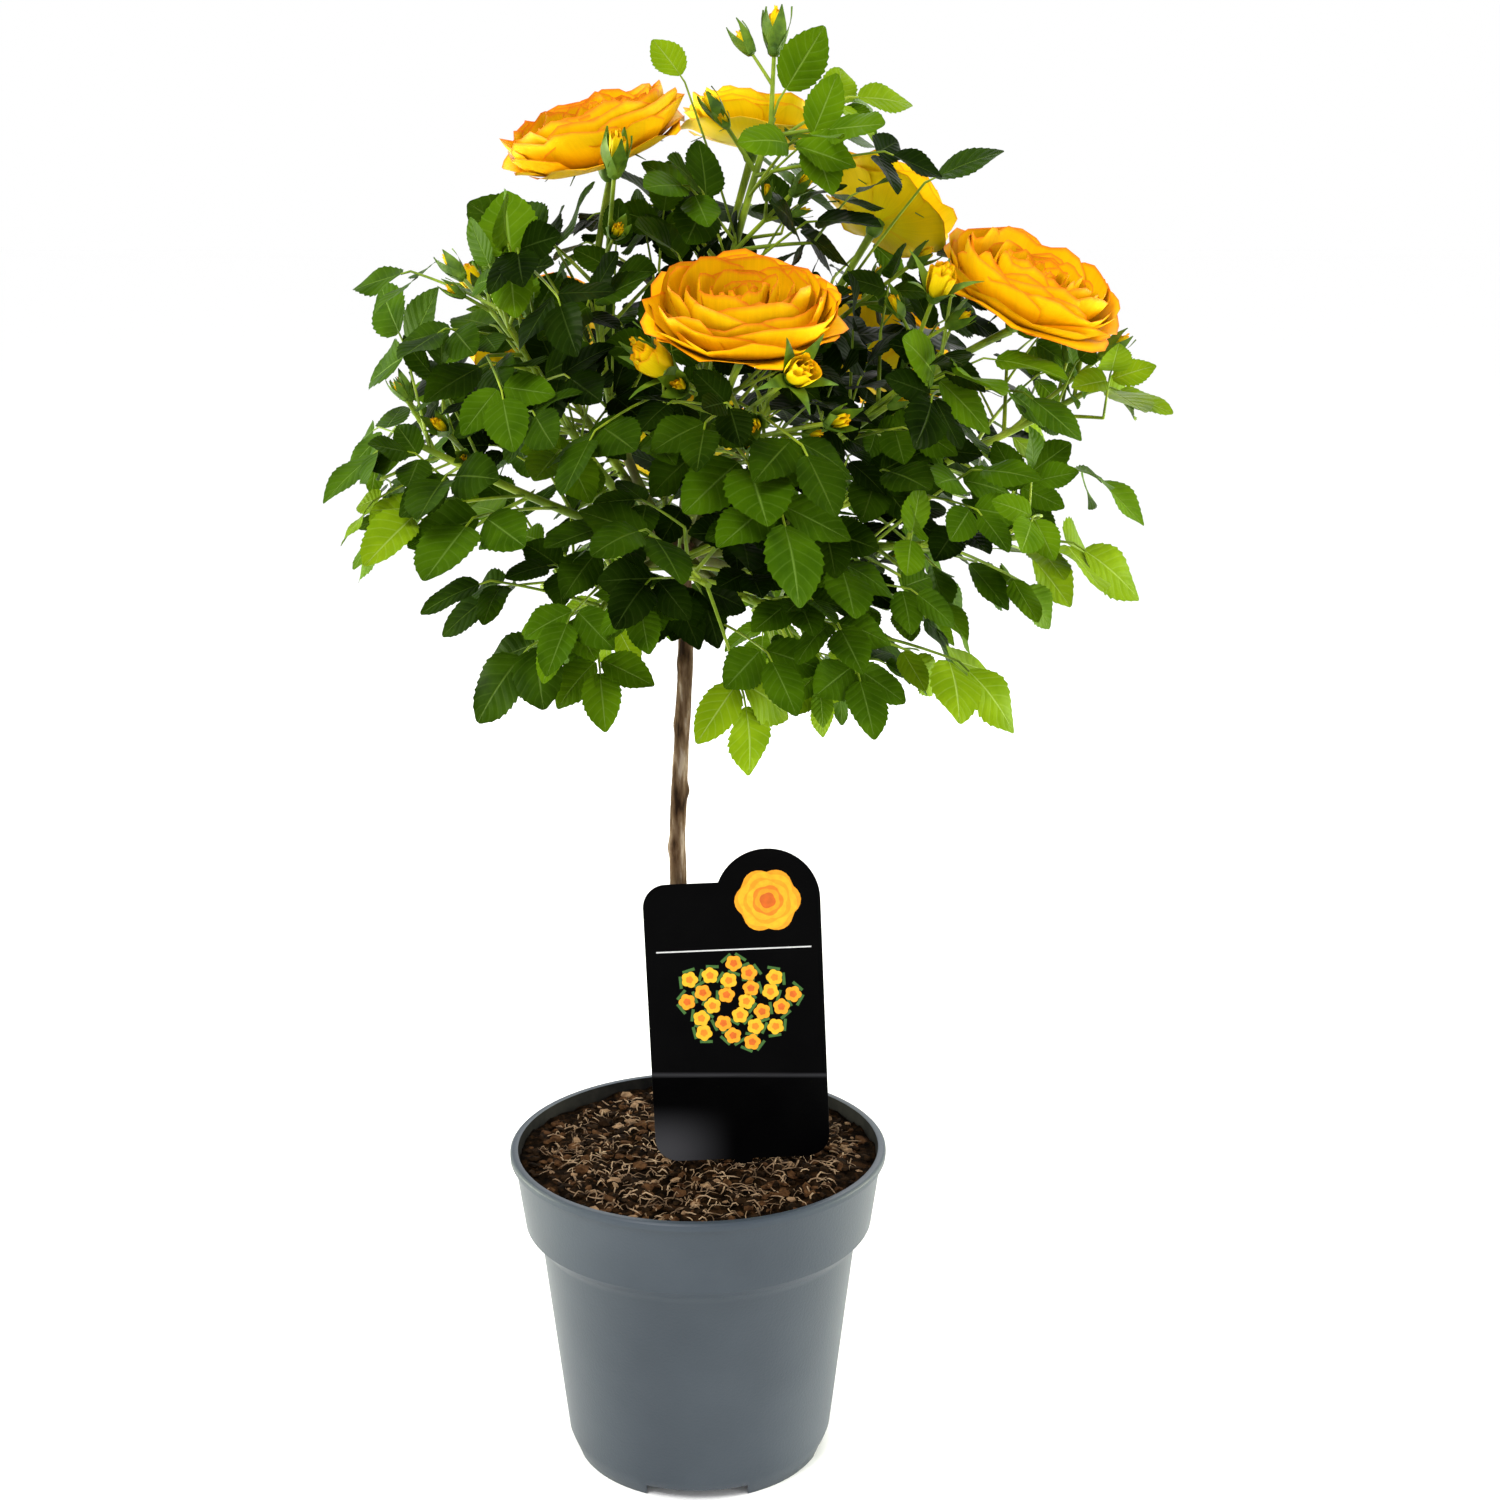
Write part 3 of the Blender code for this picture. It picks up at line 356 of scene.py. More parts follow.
chips = piece_of("soil_chips", litter, [
    mottled("dark_chip", [(0.001, 0.0005, 0.0002), (0.020, 0.010, 0.004)], 0.002, 0.9, shine=0.04),
    mottled("brown_chip", [(0.020, 0.008, 0.003), (0.085, 0.040, 0.016)], 0.002, 0.9, shine=0.04),
    mottled("tan_chip", [(0.12, 0.070, 0.036), (0.27, 0.17, 0.095)], 0.002, 0.85, shine=0.04)])
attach(chips, "root")


def strand(curve, points, radii):
    """Adds one thread to a curve."""
    spline = curve.splines.new("POLY")
    spline.points.add(len(points) - 1)
    for knot, place, radius in zip(spline.points, points, radii):
        knot.co = (*place, 1)
        knot.radius = radius
    spline.use_smooth = True


def new_strands(name, sides):
    """An empty curve whose threads are round tubes with closed ends."""
    curve = bpy.data.curves.new(name, "CURVE")
    curve.dimensions = "3D"
    curve.bevel_depth = 1
    curve.bevel_resolution = sides // 2 - 2
    curve.use_fill_caps = True
    return curve


def strands_mesh(curve):
    """The tubes of a curve as a bmesh."""
    holder = bpy.data.objects.new(curve.name, curve)
    bpy.context.scene.collection.objects.link(holder)
    bpy.context.view_layer.update()
    mesh = bpy.data.meshes.new_from_object(
        holder.evaluated_get(bpy.context.evaluated_depsgraph_get()))
    shape = bmesh.new()
    shape.from_mesh(mesh)
    bmesh.ops.remove_doubles(shape, verts=shape.verts[:], dist=0.00001)
    bpy.data.objects.remove(holder, do_unlink=True)
    bpy.data.meshes.remove(mesh)
    return shape


fibres = new_strands("fibres", 4)
for index in range(FIBRES):
    spot = soil_spot(draw, 0.008)
    turn = draw.uniform(0, 2 * math.pi)
    length = draw.uniform(0.002, 0.011)
    bow = draw.uniform(-1.2, 1.2)
    points = []
    for step in range(5):
        share = step / 4 - 0.5
        heading = turn + bow * share
        lift = 0.0011 - 0.0022 * abs(share) + 0.0006 * math.sin(6 * share + index)
        points.append(spot + Vector((math.cos(heading), math.sin(heading), 0)) * length * share
                      + UP * lift)
    width = draw.uniform(0.00009, 0.00036)
    strand(fibres, points, [0.5 * width, width, width, width, 0.4 * width])
fibre_piece = piece_of("soil_fibres", strands_mesh(fibres), [mottled(
    "root_fibre", [(0.055, 0.030, 0.014), (0.20, 0.125, 0.070), (0.40, 0.28, 0.17)],
    0.006, 0.8)], 180)
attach(fibre_piece, "root")

# ------------------------------------------------------------------ label
# A care label punched from black plastic sheet: a card with round corners and a round tab,
# creased across so that it leans back, on a spike pushed into the soil. Its print is plain.

GAP = 0.0003
LABEL_WIDTH = 0.0640
LABEL_FOOT = 0.1188
LABEL_SHOULDER = 0.2240
LABEL_TOP = 0.2358
LABEL_CREASE = 0.1516
LABEL_THICKNESS = 0.0008
LABEL_CORNER = 0.0085
LABEL_TAB_RADIUS = 0.0190
LABEL_MIDDLE = Vector((0.0170, -0.0120, 0.0))
LABEL_TILT = math.radians(-2.5)
LABEL_FOLD = math.radians(3)
SPIKE_WIDTH = 0.0070
SPIKE_DEPTH = 0.0040
PRINT_FACE = -LABEL_THICKNESS / 2
PRINT_LAYER = 0.00004
CREASE_WIDTH = 0.0016
CREASE_DEPTH = 0.0002
PUNCHED_EDGE = 0.00015
SHEEN = (0.055, 0.055, 0.060)
SHEEN_FOOT, SHEEN_TOP = 0.002, 0.022
SHEEN_RIGHT, SHEEN_LEFT = 0.002, 0.030
half_label = LABEL_WIDTH / 2
tab_centre = (half_label - LABEL_TAB_RADIUS, LABEL_TOP - LABEL_TAB_RADIUS)


def arc(centre, radius, start, end, steps):
    """Points on an arc in the card's plane, angles in degrees."""
    turns = [math.radians(start + (end - start) * step / steps) for step in range(steps + 1)]
    return [(centre[0] + radius * math.cos(turn), centre[1] + radius * math.sin(turn))
            for turn in turns]


def lean(shape):
    """Folds a flat card back above its crease, then leans it and puts it in its place."""
    upper = [vert for vert in shape.verts if vert.co.z > LABEL_CREASE + GAP]
    bmesh.ops.rotate(shape, verts=upper, cent=(0, 0, LABEL_CREASE),
                     matrix=Matrix.Rotation(-LABEL_FOLD, 3, "X"))
    above = [vert for vert in shape.verts if vert.co.z > LABEL_FOOT - GAP]
    bmesh.ops.rotate(shape, verts=above, cent=(0, 0, SOIL_HEIGHT + GAP),
                     matrix=Matrix.Rotation(LABEL_TILT, 3, "Y"))
    bmesh.ops.translate(shape, verts=shape.verts[:], vec=LABEL_MIDDLE)


tab_turn = 180 - math.degrees(math.asin((LABEL_SHOULDER - tab_centre[1]) / LABEL_TAB_RADIUS))
low = LABEL_FOOT + LABEL_CORNER
outline = arc(tab_centre, LABEL_TAB_RADIUS, 0, tab_turn, 28)
outline += arc((-half_label + LABEL_CORNER, LABEL_SHOULDER - LABEL_CORNER), LABEL_CORNER,
               90, 180, 10)
outline += arc((-half_label + LABEL_CORNER, low), LABEL_CORNER, 180, 270, 10)
outline += [(-SPIKE_WIDTH / 2, LABEL_FOOT), (-SPIKE_WIDTH / 4, SOIL_HEIGHT - SPIKE_DEPTH)]
outline += [(SPIKE_WIDTH / 4, SOIL_HEIGHT - SPIKE_DEPTH), (SPIKE_WIDTH / 2, LABEL_FOOT)]
outline += arc((half_label - LABEL_CORNER, low), LABEL_CORNER, 270, 360, 10)
card = bmesh.new()
card.faces.new([card.verts.new((x, -LABEL_THICKNESS / 2, z)) for x, z in outline])
for rise in (-CREASE_WIDTH / 2, 0.0, CREASE_WIDTH / 2):
    bmesh.ops.bisect_plane(card, geom=card.verts[:] + card.edges[:] + card.faces[:],
                           plane_co=(0, 0, LABEL_CREASE + rise), plane_no=(0, 0, 1))
thick = bmesh.ops.extrude_face_region(card, geom=card.faces[:])
moved = [item for item in thick["geom"] if isinstance(item, bmesh.types.BMVert)]
bmesh.ops.translate(card, verts=moved, vec=(0, LABEL_THICKNESS, 0))
bmesh.ops.recalc_face_normals(card, faces=card.faces[:])
for vert in card.verts:
    if abs(vert.co.z - LABEL_CREASE) < CREASE_WIDTH / 4:
        vert.co.y -= CREASE_DEPTH
lean(card)


def spot_on(finish, kind):
    """Where a point of a finish is: on the object, or on the piece's own map (UV)."""
    nodes = finish.node_tree.nodes
    apart = nodes.new("ShaderNodeSeparateXYZ")
    place = nodes.new("ShaderNodeTexCoord")
    finish.node_tree.links.new(place.outputs[kind], apart.inputs["Vector"])
    return apart.outputs


def reckon(finish, operation, first, second=None):
    """Works out one value of a pattern, from sockets or numbers."""
    node = finish.node_tree.nodes.new("ShaderNodeMath")
    node.operation = operation
    for socket, value in zip(node.inputs, (first, second)):
        if isinstance(value, (int, float)):
            socket.default_value = value
        elif value is not None:
            finish.node_tree.links.new(value, socket)
    return node.outputs["Value"]


def rising(finish, value, low, high, top=1.0, ease="LINEAR"):
    """A share that rises from 0 to its top while a value goes from low to high."""
    node = finish.node_tree.nodes.new("ShaderNodeMapRange")
    node.interpolation_type = ease
    node.inputs["From Min"].default_value = low
    node.inputs["From Max"].default_value = high
    node.inputs["To Max"].default_value = top
    finish.node_tree.links.new(value, node.inputs["Value"])
    return node.outputs["Result"]


def tinted(finish, share, tint):
    """Turns a finish's colour to a tint, by a share that varies over it."""
    nodes, links = finish.node_tree.nodes, finish.node_tree.links
    shader = nodes["Principled BSDF"]
    blend = nodes.new("ShaderNodeMix")
    blend.data_type = "RGBA"
    blend.inputs["B"].default_value = (*tint, 1)
    links.new(share, blend.inputs["Factor"])
    links.new(shader.inputs["Base Color"].links[0].from_socket, blend.inputs["A"])
    links.new(blend.outputs["Result"], shader.inputs["Base Color"])


# The card is painted paler at its lower left, a painted reflection, and along its crease, a painted
# highlight over the crease's whitening.
black_card = mottled("black_card", [(0.0006, 0.0006, 0.0007), (0.0012, 0.0012, 0.0013)],
                     0.02, 0.28, 0.004, 0.00003, shine=0.02)
spot = spot_on(black_card, "Object")
down = rising(black_card, spot["Z"], LABEL_FOOT + SHEEN_TOP, LABEL_FOOT + SHEEN_FOOT,
              ease="SMOOTHSTEP")
across = rising(black_card, spot["X"], LABEL_MIDDLE.x - SHEEN_RIGHT, LABEL_MIDDLE.x - SHEEN_LEFT,
                ease="SMOOTHSTEP")
off_crease = reckon(black_card, "ABSOLUTE", reckon(black_card, "SUBTRACT", spot["Z"], LABEL_CREASE))
# Painted highlight along the crease, over the crease's whitening.
crease_whitening_and_highlight = rising(black_card, off_crease, 0.0011, 0.0001, 0.45)
# Painted reflection: paler towards the card's lower left.
painted_reflection = reckon(black_card, "MULTIPLY", down, across)
tinted(black_card, reckon(black_card, "MAXIMUM", painted_reflection, crease_whitening_and_highlight), SHEEN)

label_card = piece_of("label_sheet", card, [black_card], 25)
rim = label_card.modifiers.new("punched_edge", "BEVEL")
rim.width = PUNCHED_EDGE
rim.segments = 2
rim.limit_method = "ANGLE"
rim.angle_limit = math.radians(50)
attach(label_card, "root")
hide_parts("label")


def lobed(shape, middle, radius, lobes, depth, layer, tone, turn=0.0):
    """A flat printed shape with round lobes, on its own layer of ink."""
    disc = bmesh.ops.create_circle(shape, cap_ends=True, radius=1, segments=40)["verts"]
    for vert in disc:
        angle = math.atan2(vert.co.y, vert.co.x)
        reach = radius * (1 - depth + depth * abs(math.cos(lobes * (angle + turn) / 2)))
        vert.co = Vector((middle[0] + reach * math.cos(angle),
                          PRINT_FACE - PRINT_LAYER * layer,
                          middle[1] + reach * math.sin(angle)))
        for face in vert.link_faces:
            face.material_index = tone


def ink_bar(shape, middle, size, layer, tone, turn=0.0):
    """A flat printed bar."""
    place = Matrix.Translation((middle[0], PRINT_FACE - PRINT_LAYER * layer, middle[1]))
    turned = Matrix.Rotation(turn, 4, "Y") @ Matrix.Rotation(math.pi / 2, 4, "X")
    bar = bmesh.ops.create_grid(shape, x_segments=1, y_segments=1, size=0.5,
                                matrix=place @ turned @ Matrix.Diagonal((*size, 1, 1)))
    for vert in bar["verts"]:
        for face in vert.link_faces:
            face.material_index = tone


# The tab's rosette, ring by ring: radius, lobes, ink and turn.
ROSETTE = (
    (0.0120, 6, 1, 0.0), (0.0108, 6, 0, 0.2), (0.0088, 5, 1, 0.5), (0.0076, 5, 0, 0.8),
    (0.0058, 5, 2, 0.1), (0.0046, 5, 1, 0.5), (0.0030, 4, 3, 0.4),
)

# The bunch of small rosettes on the card, each with two leaves.
GOLDEN_TURN = math.radians(137.5)
BUNCH = 24
BUNCH_MIDDLE = (0.0006, 0.1795)
BUNCH_REACH = (0.0215, 0.0160)
PRINT_LEAF = (0.0046, 0.0011)
PRINT_LEAF_OUT = 0.0034
PRINT_LEAF_TURN = 0.9
RULE_DROP = 0.0250
RULE = (LABEL_WIDTH - 0.0080, 0.0005)

ink = bmesh.new()
for layer, (radius, lobes, tone, turn) in enumerate(ROSETTE):
    lobed(ink, tab_centre, radius, lobes, 0.13, layer + 1, tone, turn)
for index in range(BUNCH):
    angle = index * GOLDEN_TURN
    reach = math.sqrt((index + 0.5) / BUNCH)
    spot = (BUNCH_MIDDLE[0] + BUNCH_REACH[0] * reach * math.cos(angle),
            BUNCH_MIDDLE[1] + BUNCH_REACH[1] * reach * math.sin(angle))
    for side in (-PRINT_LEAF_TURN, PRINT_LEAF_TURN):
        tip = (spot[0] + PRINT_LEAF_OUT * math.cos(angle + side),
               spot[1] + PRINT_LEAF_OUT * math.sin(angle + side))
        ink_bar(ink, tip, PRINT_LEAF, 1, 4, side - angle)
    lobed(ink, spot, 0.0031, 5, 0.2, 2, index % 2, angle)
    lobed(ink, spot, 0.0014, 5, 0.2, 3, 2 + index % 2, angle)
ink_bar(ink, (0.0, LABEL_SHOULDER - RULE_DROP), RULE, 1, 5)
lean(ink)
inks = ((0.80, 0.42, 0.012), (0.82, 0.32, 0.008), (0.80, 0.21, 0.008), (0.62, 0.12, 0.008),
        (0.04, 0.12, 0.02), (0.62, 0.62, 0.62))
label_ink = piece_of("label_print", ink, [
    mottled(f"print_{index}", [tuple(0.8 * part for part in tone), tone], 0.002, 0.3)
    for index, tone in enumerate(inks)])
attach(label_ink, "root")

# ------------------------------------------------------------------ stem
# The clear stem of the rootstock: woody, flared a little at the soil, in cracked reddish-brown
# bark with old bud scars, and swollen at the top where the rose was budded on to it.

STEM_RADIUS = 0.0029
FLARE_RADIUS = 0.0050
GRAFT = Vector((-0.0050, 0.0000, 0.3420))
GRAFT_RADIUS = 0.0068
STEM_FOOT = SOIL_HEIGHT + GAP
CRACK_DEPTH = 0.00032
CRACK_WIDTH = 0.0011
SCAR_SWELL = 0.0011
SCAR_SIZE = 0.0026
SCAR_HEIGHTS = (0.014, 0.043, 0.071, 0.096, 0.118, 0.139, 0.163, 0.186)
BARK_STRETCH = 0.22

stem_stations = [Vector(station) for station in (
    (-0.0075, 0.0000, STEM_FOOT, FLARE_RADIUS),
    (-0.0075, 0.0000, STEM_FOOT + 0.0030, 0.86 * FLARE_RADIUS),
    (-0.0074, 0.0003, STEM_FOOT + 0.0090, 1.28 * STEM_RADIUS),
    (-0.0070, 0.0005, STEM_FOOT + 0.0180, 1.10 * STEM_RADIUS),
    (-0.0078, 0.0006, STEM_FOOT + 0.0520, 1.04 * STEM_RADIUS),
    (-0.0066, 0.0000, STEM_FOOT + 0.0880, 1.06 * STEM_RADIUS),
    (-0.0068, -0.0006, STEM_FOOT + 0.1240, 1.00 * STEM_RADIUS),
    (-0.0050, -0.0004, STEM_FOOT + 0.1600, 0.98 * STEM_RADIUS),
    (-0.0034, 0.0000, STEM_FOOT + 0.1900, 0.95 * STEM_RADIUS),
    (-0.0040, 0.0000, STEM_FOOT + 0.2100, 1.02 * STEM_RADIUS),
    (GRAFT.x, GRAFT.y, GRAFT.z - GRAFT_RADIUS, 1.35 * STEM_RADIUS),
    (GRAFT.x, GRAFT.y, GRAFT.z - 0.55 * GRAFT_RADIUS, 0.84 * GRAFT_RADIUS),
    (GRAFT.x, GRAFT.y, GRAFT.z, GRAFT_RADIUS),
    (GRAFT.x, GRAFT.y, GRAFT.z + 0.50 * GRAFT_RADIUS, 0.86 * GRAFT_RADIUS),
    (GRAFT.x, GRAFT.y, GRAFT.z + 0.87 * GRAFT_RADIUS, 0.50 * GRAFT_RADIUS),
)]


def smoothed(stations, steps):
    """Stations of (x, y, z, radius) with more between them on a smooth line through them."""
    line = []
    for index in range(len(stations) - 1):
        before = stations[max(index - 1, 0)]
        first, last = stations[index], stations[index + 1]
        after = stations[min(index + 2, len(stations) - 1)]
        count = max(2, round((last.xyz - first.xyz).length / steps))
        for step in range(count):
            share = step / count
            line.append(0.5 * (2 * first + (last - before) * share
                               + (2 * before - 5 * first + 4 * last - after) * share ** 2
                               + (3 * first - before - 3 * last + after) * share ** 3))
    return line + [stations[-1]]


def roughen(shape, scars, height, grain):
    """Raises the bark: long cracks that run up the wood, and a swelling at each old bud."""
    bmesh.ops.recalc_face_normals(shape, faces=shape.faces[:])
    shape.normal_update()
    lifts = []
    for vert in shape.verts:
        stretched = Vector((vert.co.x, vert.co.y, BARK_STRETCH * vert.co.z)) / grain
        crack = abs(noise.noise(stretched)) + 0.5 * abs(noise.noise(2.3 * stretched))
        lump = noise.noise(vert.co * 90)
        lift = height * (0.8 * lump - 1.6 * (0.35 - min(crack, 0.35)))
        for scar in scars:
            lift += SCAR_SWELL * math.exp(-((vert.co - scar).length / SCAR_SIZE) ** 2)
        lifts.append(vert.normal * lift)
    for vert, lift in zip(shape.verts, lifts):
        vert.co += lift


stem_line = smoothed(stem_stations, 0.0011)
stem_curve = new_strands("stem", 28)
strand(stem_curve, [station.xyz for station in stem_line], [station.w for station in stem_line])
stem_shape = strands_mesh(stem_curve)
scars = []
for index, height in enumerate(SCAR_HEIGHTS):
    turn = 2.4 * index + 0.6
    scars.append(Vector((-0.0068 + STEM_RADIUS * math.cos(turn), STEM_RADIUS * math.sin(turn),
                         STEM_FOOT + height)))
roughen(stem_shape, scars, CRACK_DEPTH, CRACK_WIDTH)
bark = mottled("stem_bark", [(0.014, 0.006, 0.002), (0.062, 0.034, 0.016),
                             (0.120, 0.076, 0.044), (0.270, 0.210, 0.155)],
               0.0030, 0.85, 0.0006, 0.0004, (1, 1, BARK_STRETCH), shine=0.08)
stem_piece = piece_of("stem", stem_shape, [bark], 180)
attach(stem_piece, "root")
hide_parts("trunk")

# ------------------------------------------------------------------ room in the head
# A rose fills its head so that no leaf grows through another. Everything that has grown is
# kept as a slightly larger closed shape, and a newcomer that would meet one doesn't grow. A
# twig may meet the wood of its own shoot.

CELL = 0.030
MARGIN = 0.0005
Claim = namedtuple("Claim", "tree centre reach wood")
claims = defaultdict(list)


def shape_claim(shape, wood):
    """A claim round the shape in a bmesh."""
    corners = [vert.co.copy() for vert in shape.verts]
    centre = sum(corners, Vector()) / len(corners)
    reach = max((corner - centre).length for corner in corners)
    return Claim(BVHTree.FromBMesh(shape), centre, reach, wood)


def cells_of(claim):
    """The cells of space that a claim reaches into."""
    spans = [range(math.floor((claim.centre[axis] - claim.reach) / CELL),
                   math.floor((claim.centre[axis] + claim.reach) / CELL) + 1)
             for axis in range(3)]
    return [(x, y, z) for x in spans[0] for y in spans[1] for z in spans[2]]


def keep(claim):
    """Keeps a claim."""
    for cell in cells_of(claim):
        claims[cell].append(claim)


def is_free(claim):
    """True where a claim meets nothing that has grown."""
    met = set()
    for cell in cells_of(claim):
        for other in claims[cell]:
            if id(other) in met or (claim.wood and other.wood == claim.wood):
                continue
            met.add(id(other))
            apart = (other.centre - claim.centre).length
            if apart < other.reach + claim.reach and other.tree.overlap(claim.tree):
                return False
    return True


def claim_limb(points, radii, wood=None):
    """Claims the room that a limb takes."""
    tube = new_strands("room", 6)
    strand(tube, points, [radius + MARGIN for radius in radii])
    shape = strands_mesh(tube)
    keep(shape_claim(shape, wood))
    shape.free()


claim_limb([station.xyz for station in stem_stations], [station.w for station in stem_stations])

# ------------------------------------------------------------------ boughs and shoots
# Green-skinned shoots that spring from the bud union. The foot of each is a bare bough, older
# and browner, with a few prickles. Further out it carries the leaves, and some end in a bloom.

BOUGH_SHARE = 0.30
BLOOM_SHARE = 0.82
FIRST_LEAF_SHARE = 0.36
SHOOT_CARRY = 0.45
BOUGH_RADIUS = 0.0019
SHOOT_TIP_RADIUS = 0.0011
LEAFY_SHARES = (0.35, 0.5, 0.65, 0.8, 0.95)

# Heading and climb (degrees), tip (mm), leaf joints, and for a bloom its facing and radius (mm).
Shoot = namedtuple("Shoot", "name heading climb tip joints face bloom")
SHOOTS = (
    Shoot("top", -20, 84, (27, -6, 488), 6, None, 0),
    Shoot("upper_left", 196, 55, (-29, -7, 473), 6, (-0.30, -0.20, 0.93), 30),
    Shoot("upper_back", 84, 58, (20, 30, 480), 6, (0.12, 0.16, 0.98), 24),
    Shoot("upper_right", 30, 54, (64, 26, 454), 6, (0.45, 0.50, 0.74), 23),
    Shoot("front", -70, 48, (17, -66, 418), 5, (0.02, -0.38, 0.92), 30),
    Shoot("right", -18, 36, (109, -14, 424), 7, (0.34, -0.30, 0.89), 30),
    Shoot("left", 226, 34, (-68, -22, 436), 5, None, 0),
    Shoot("far_left", 182, 18, (-98, -8, 382), 5, None, 0),
    Shoot("far_right", 8, 12, (138, 6, 398), 6, None, 0),
    Shoot("side_right", -36, 4, (108, -36, 352), 5, None, 0),
    Shoot("low_left", 216, -14, (-34, -36, 322), 5, None, 0),
    Shoot("low_right", -52, -24, (62, -42, 320), 5, None, 0),
    Shoot("low_front", -96, 4, (6, -62, 340), 5, None, 0),
    Shoot("back_left", 138, 40, (-56, 82, 404), 5, (-0.40, 0.62, 0.68), 28),
    Shoot("back_right", 60, 28, (64, 88, 400), 5, (0.30, 0.68, 0.67), 29),
    Shoot("back", 104, 14, (-6, 100, 368), 5, (-0.05, 0.72, 0.69), 25),
    Shoot("low_back_left", 158, -14, (-58, 46, 322), 5, None, 0),
    Shoot("low_back_right", 34, -20, (52, 48, 316), 5, None, 0),
)


def bend(start, control, end, share):
    """A point on the quadratic curve from start to end."""
    return start * (1 - share) ** 2 + control * 2 * share * (1 - share) + end * share ** 2


def millimetres(point):
    """A table's point in metres."""
    return Vector(point) * 0.001


class Line:
    """The line of one shoot, out of the graft along its heading and round to its tip."""

    def __init__(self, shoot):
        heading, climb = math.radians(shoot.heading), math.radians(shoot.climb)
        out = Vector((math.cos(heading) * math.cos(climb), math.sin(heading) * math.cos(climb),
                      math.sin(climb)))
        self.start = GRAFT + out * (GRAFT_RADIUS + 2 * GAP)
        self.end = millimetres(shoot.tip)
        self.control = self.start + out * SHOOT_CARRY * (self.end - self.start).length
        self.face = Vector(shoot.face).normalized() if shoot.face else None

    def at(self, share):
        """The point at a share of the line."""
        return bend(self.start, self.control, self.end, share)

    def heading_at(self, share):
        """The way that the line runs at a share of it."""
        return (self.at(min(share + 0.02, 1)) - self.at(share - 0.02)).normalized()

    def radius_at(self, share):
        """The shoot's radius at a share of the line."""
        return BOUGH_RADIUS + (SHOOT_TIP_RADIUS - BOUGH_RADIUS) * share

    def stretch(self, first, last, count):
        """Points and radii of the shoot between two shares of its line."""
        shares = [first + (last - first) * index / count for index in range(count + 1)]
        return [self.at(share) for share in shares], [self.radius_at(share) for share in shares]


def leafy_end(shoot):
    """How far along its line a shoot is leafy: an open bloom takes the last stretch."""
    return BLOOM_SHARE if shoot.face else 1.0


lines = {shoot.name: Line(shoot) for shoot in SHOOTS}
flowering = [shoot for shoot in SHOOTS if shoot.face]
bough_curve = new_strands("boughs", 12)
shoot_curve = new_strands("shoots", 8)
for shoot in SHOOTS:
    line = lines[shoot.name]
    gap = (GAP + 0.0001) / (line.end - line.start).length
    points, radii = line.stretch(0, BOUGH_SHARE, 4)
    claim_limb(points, radii)
    points, radii = line.stretch(BOUGH_SHARE + gap, leafy_end(shoot), 7)
    claim_limb(points, radii, shoot.name)
    foot = line.start.lerp(GRAFT, 0.25)
    points, radii = line.stretch(0, BOUGH_SHARE + 0.01, 26)
    strand(bough_curve, [foot] + points, [1.25 * radii[0]] + radii)
    points, radii = line.stretch(BOUGH_SHARE, leafy_end(shoot), 30)
    strand(shoot_curve, points, radii)

bough_shape = strands_mesh(bough_curve)
roughen(bough_shape, [], 0.00014, 0.0010)
bough_bark = mottled("bough_rind", [(0.050, 0.042, 0.010), (0.080, 0.095, 0.010),
                                    (0.120, 0.160, 0.014)],
                     0.0060, 0.6, 0.0006, 0.00020, (1, 1, 0.6))
bough_piece = piece_of("boughs", bough_shape, [bough_bark], 180)
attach(bough_piece, "root")
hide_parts(*["bough_" + shoot.name for shoot in SHOOTS])

# ------------------------------------------------------------------ growth
# Where each leaf, bud and bloom grows. A rose leaf is a thin stalk with one leaflet at its end
# and a pair or two along it. Leaves follow one another up the shoot by the golden angle. The
# named leaves and bud clusters at the edge of the head come first, then the others, turn by
# turn.

CROWN_CENTRE = Vector((0.0140, 0.0080, 0.3880))
CROWN_REACH = Vector((0.1530, 0.1350, 0.1180))
SHARED_DEPTH = 0.012
LEAF_SIZE = 0.029
LEAF_THICKNESS = 0.0010
LEAF_CREST = 0.44
LEAF_FOOT_WIDTH = 0.434
LEAF_NARROWING = 0.110
LEAF_BULGE = 0.12
PETIOLE_RADIUS = 0.0007
SHORTEST_STALK = 0.3
LEAF_ARCH = 0.14
PAIR_SPREAD = math.radians(62)
PAIR_DROOP = 0.22
PAIR_SIZES = (0.90, 0.72)
PAIR_PLACES = (0.88, 0.46)
TWO_PAIR_SHARE = 0.12
FACE_OUT = 0.85
TRY_TURN = 1.3
TRY_SHRINK = 0.03
TRIES = 9
LEAF_FORWARD = 0.45
LEAF_RISE = 0.10
LEAF_STALK = 2.25
PAIR_STALK = 0.35
LEAF_SAG = 0.35
BUD_TWIG_RADIUS = 0.0009
BUD_WIDTH = 0.5
BUD_LAP = 0.15
SIDE_BUD_SIZE = 0.62
SIDE_BUD_STALK = 1.3
FORK_SHARE = 0.55
FORK_ALONG = 0.8
FORK_OUT = 0.6
GROWTH_SEED = 7

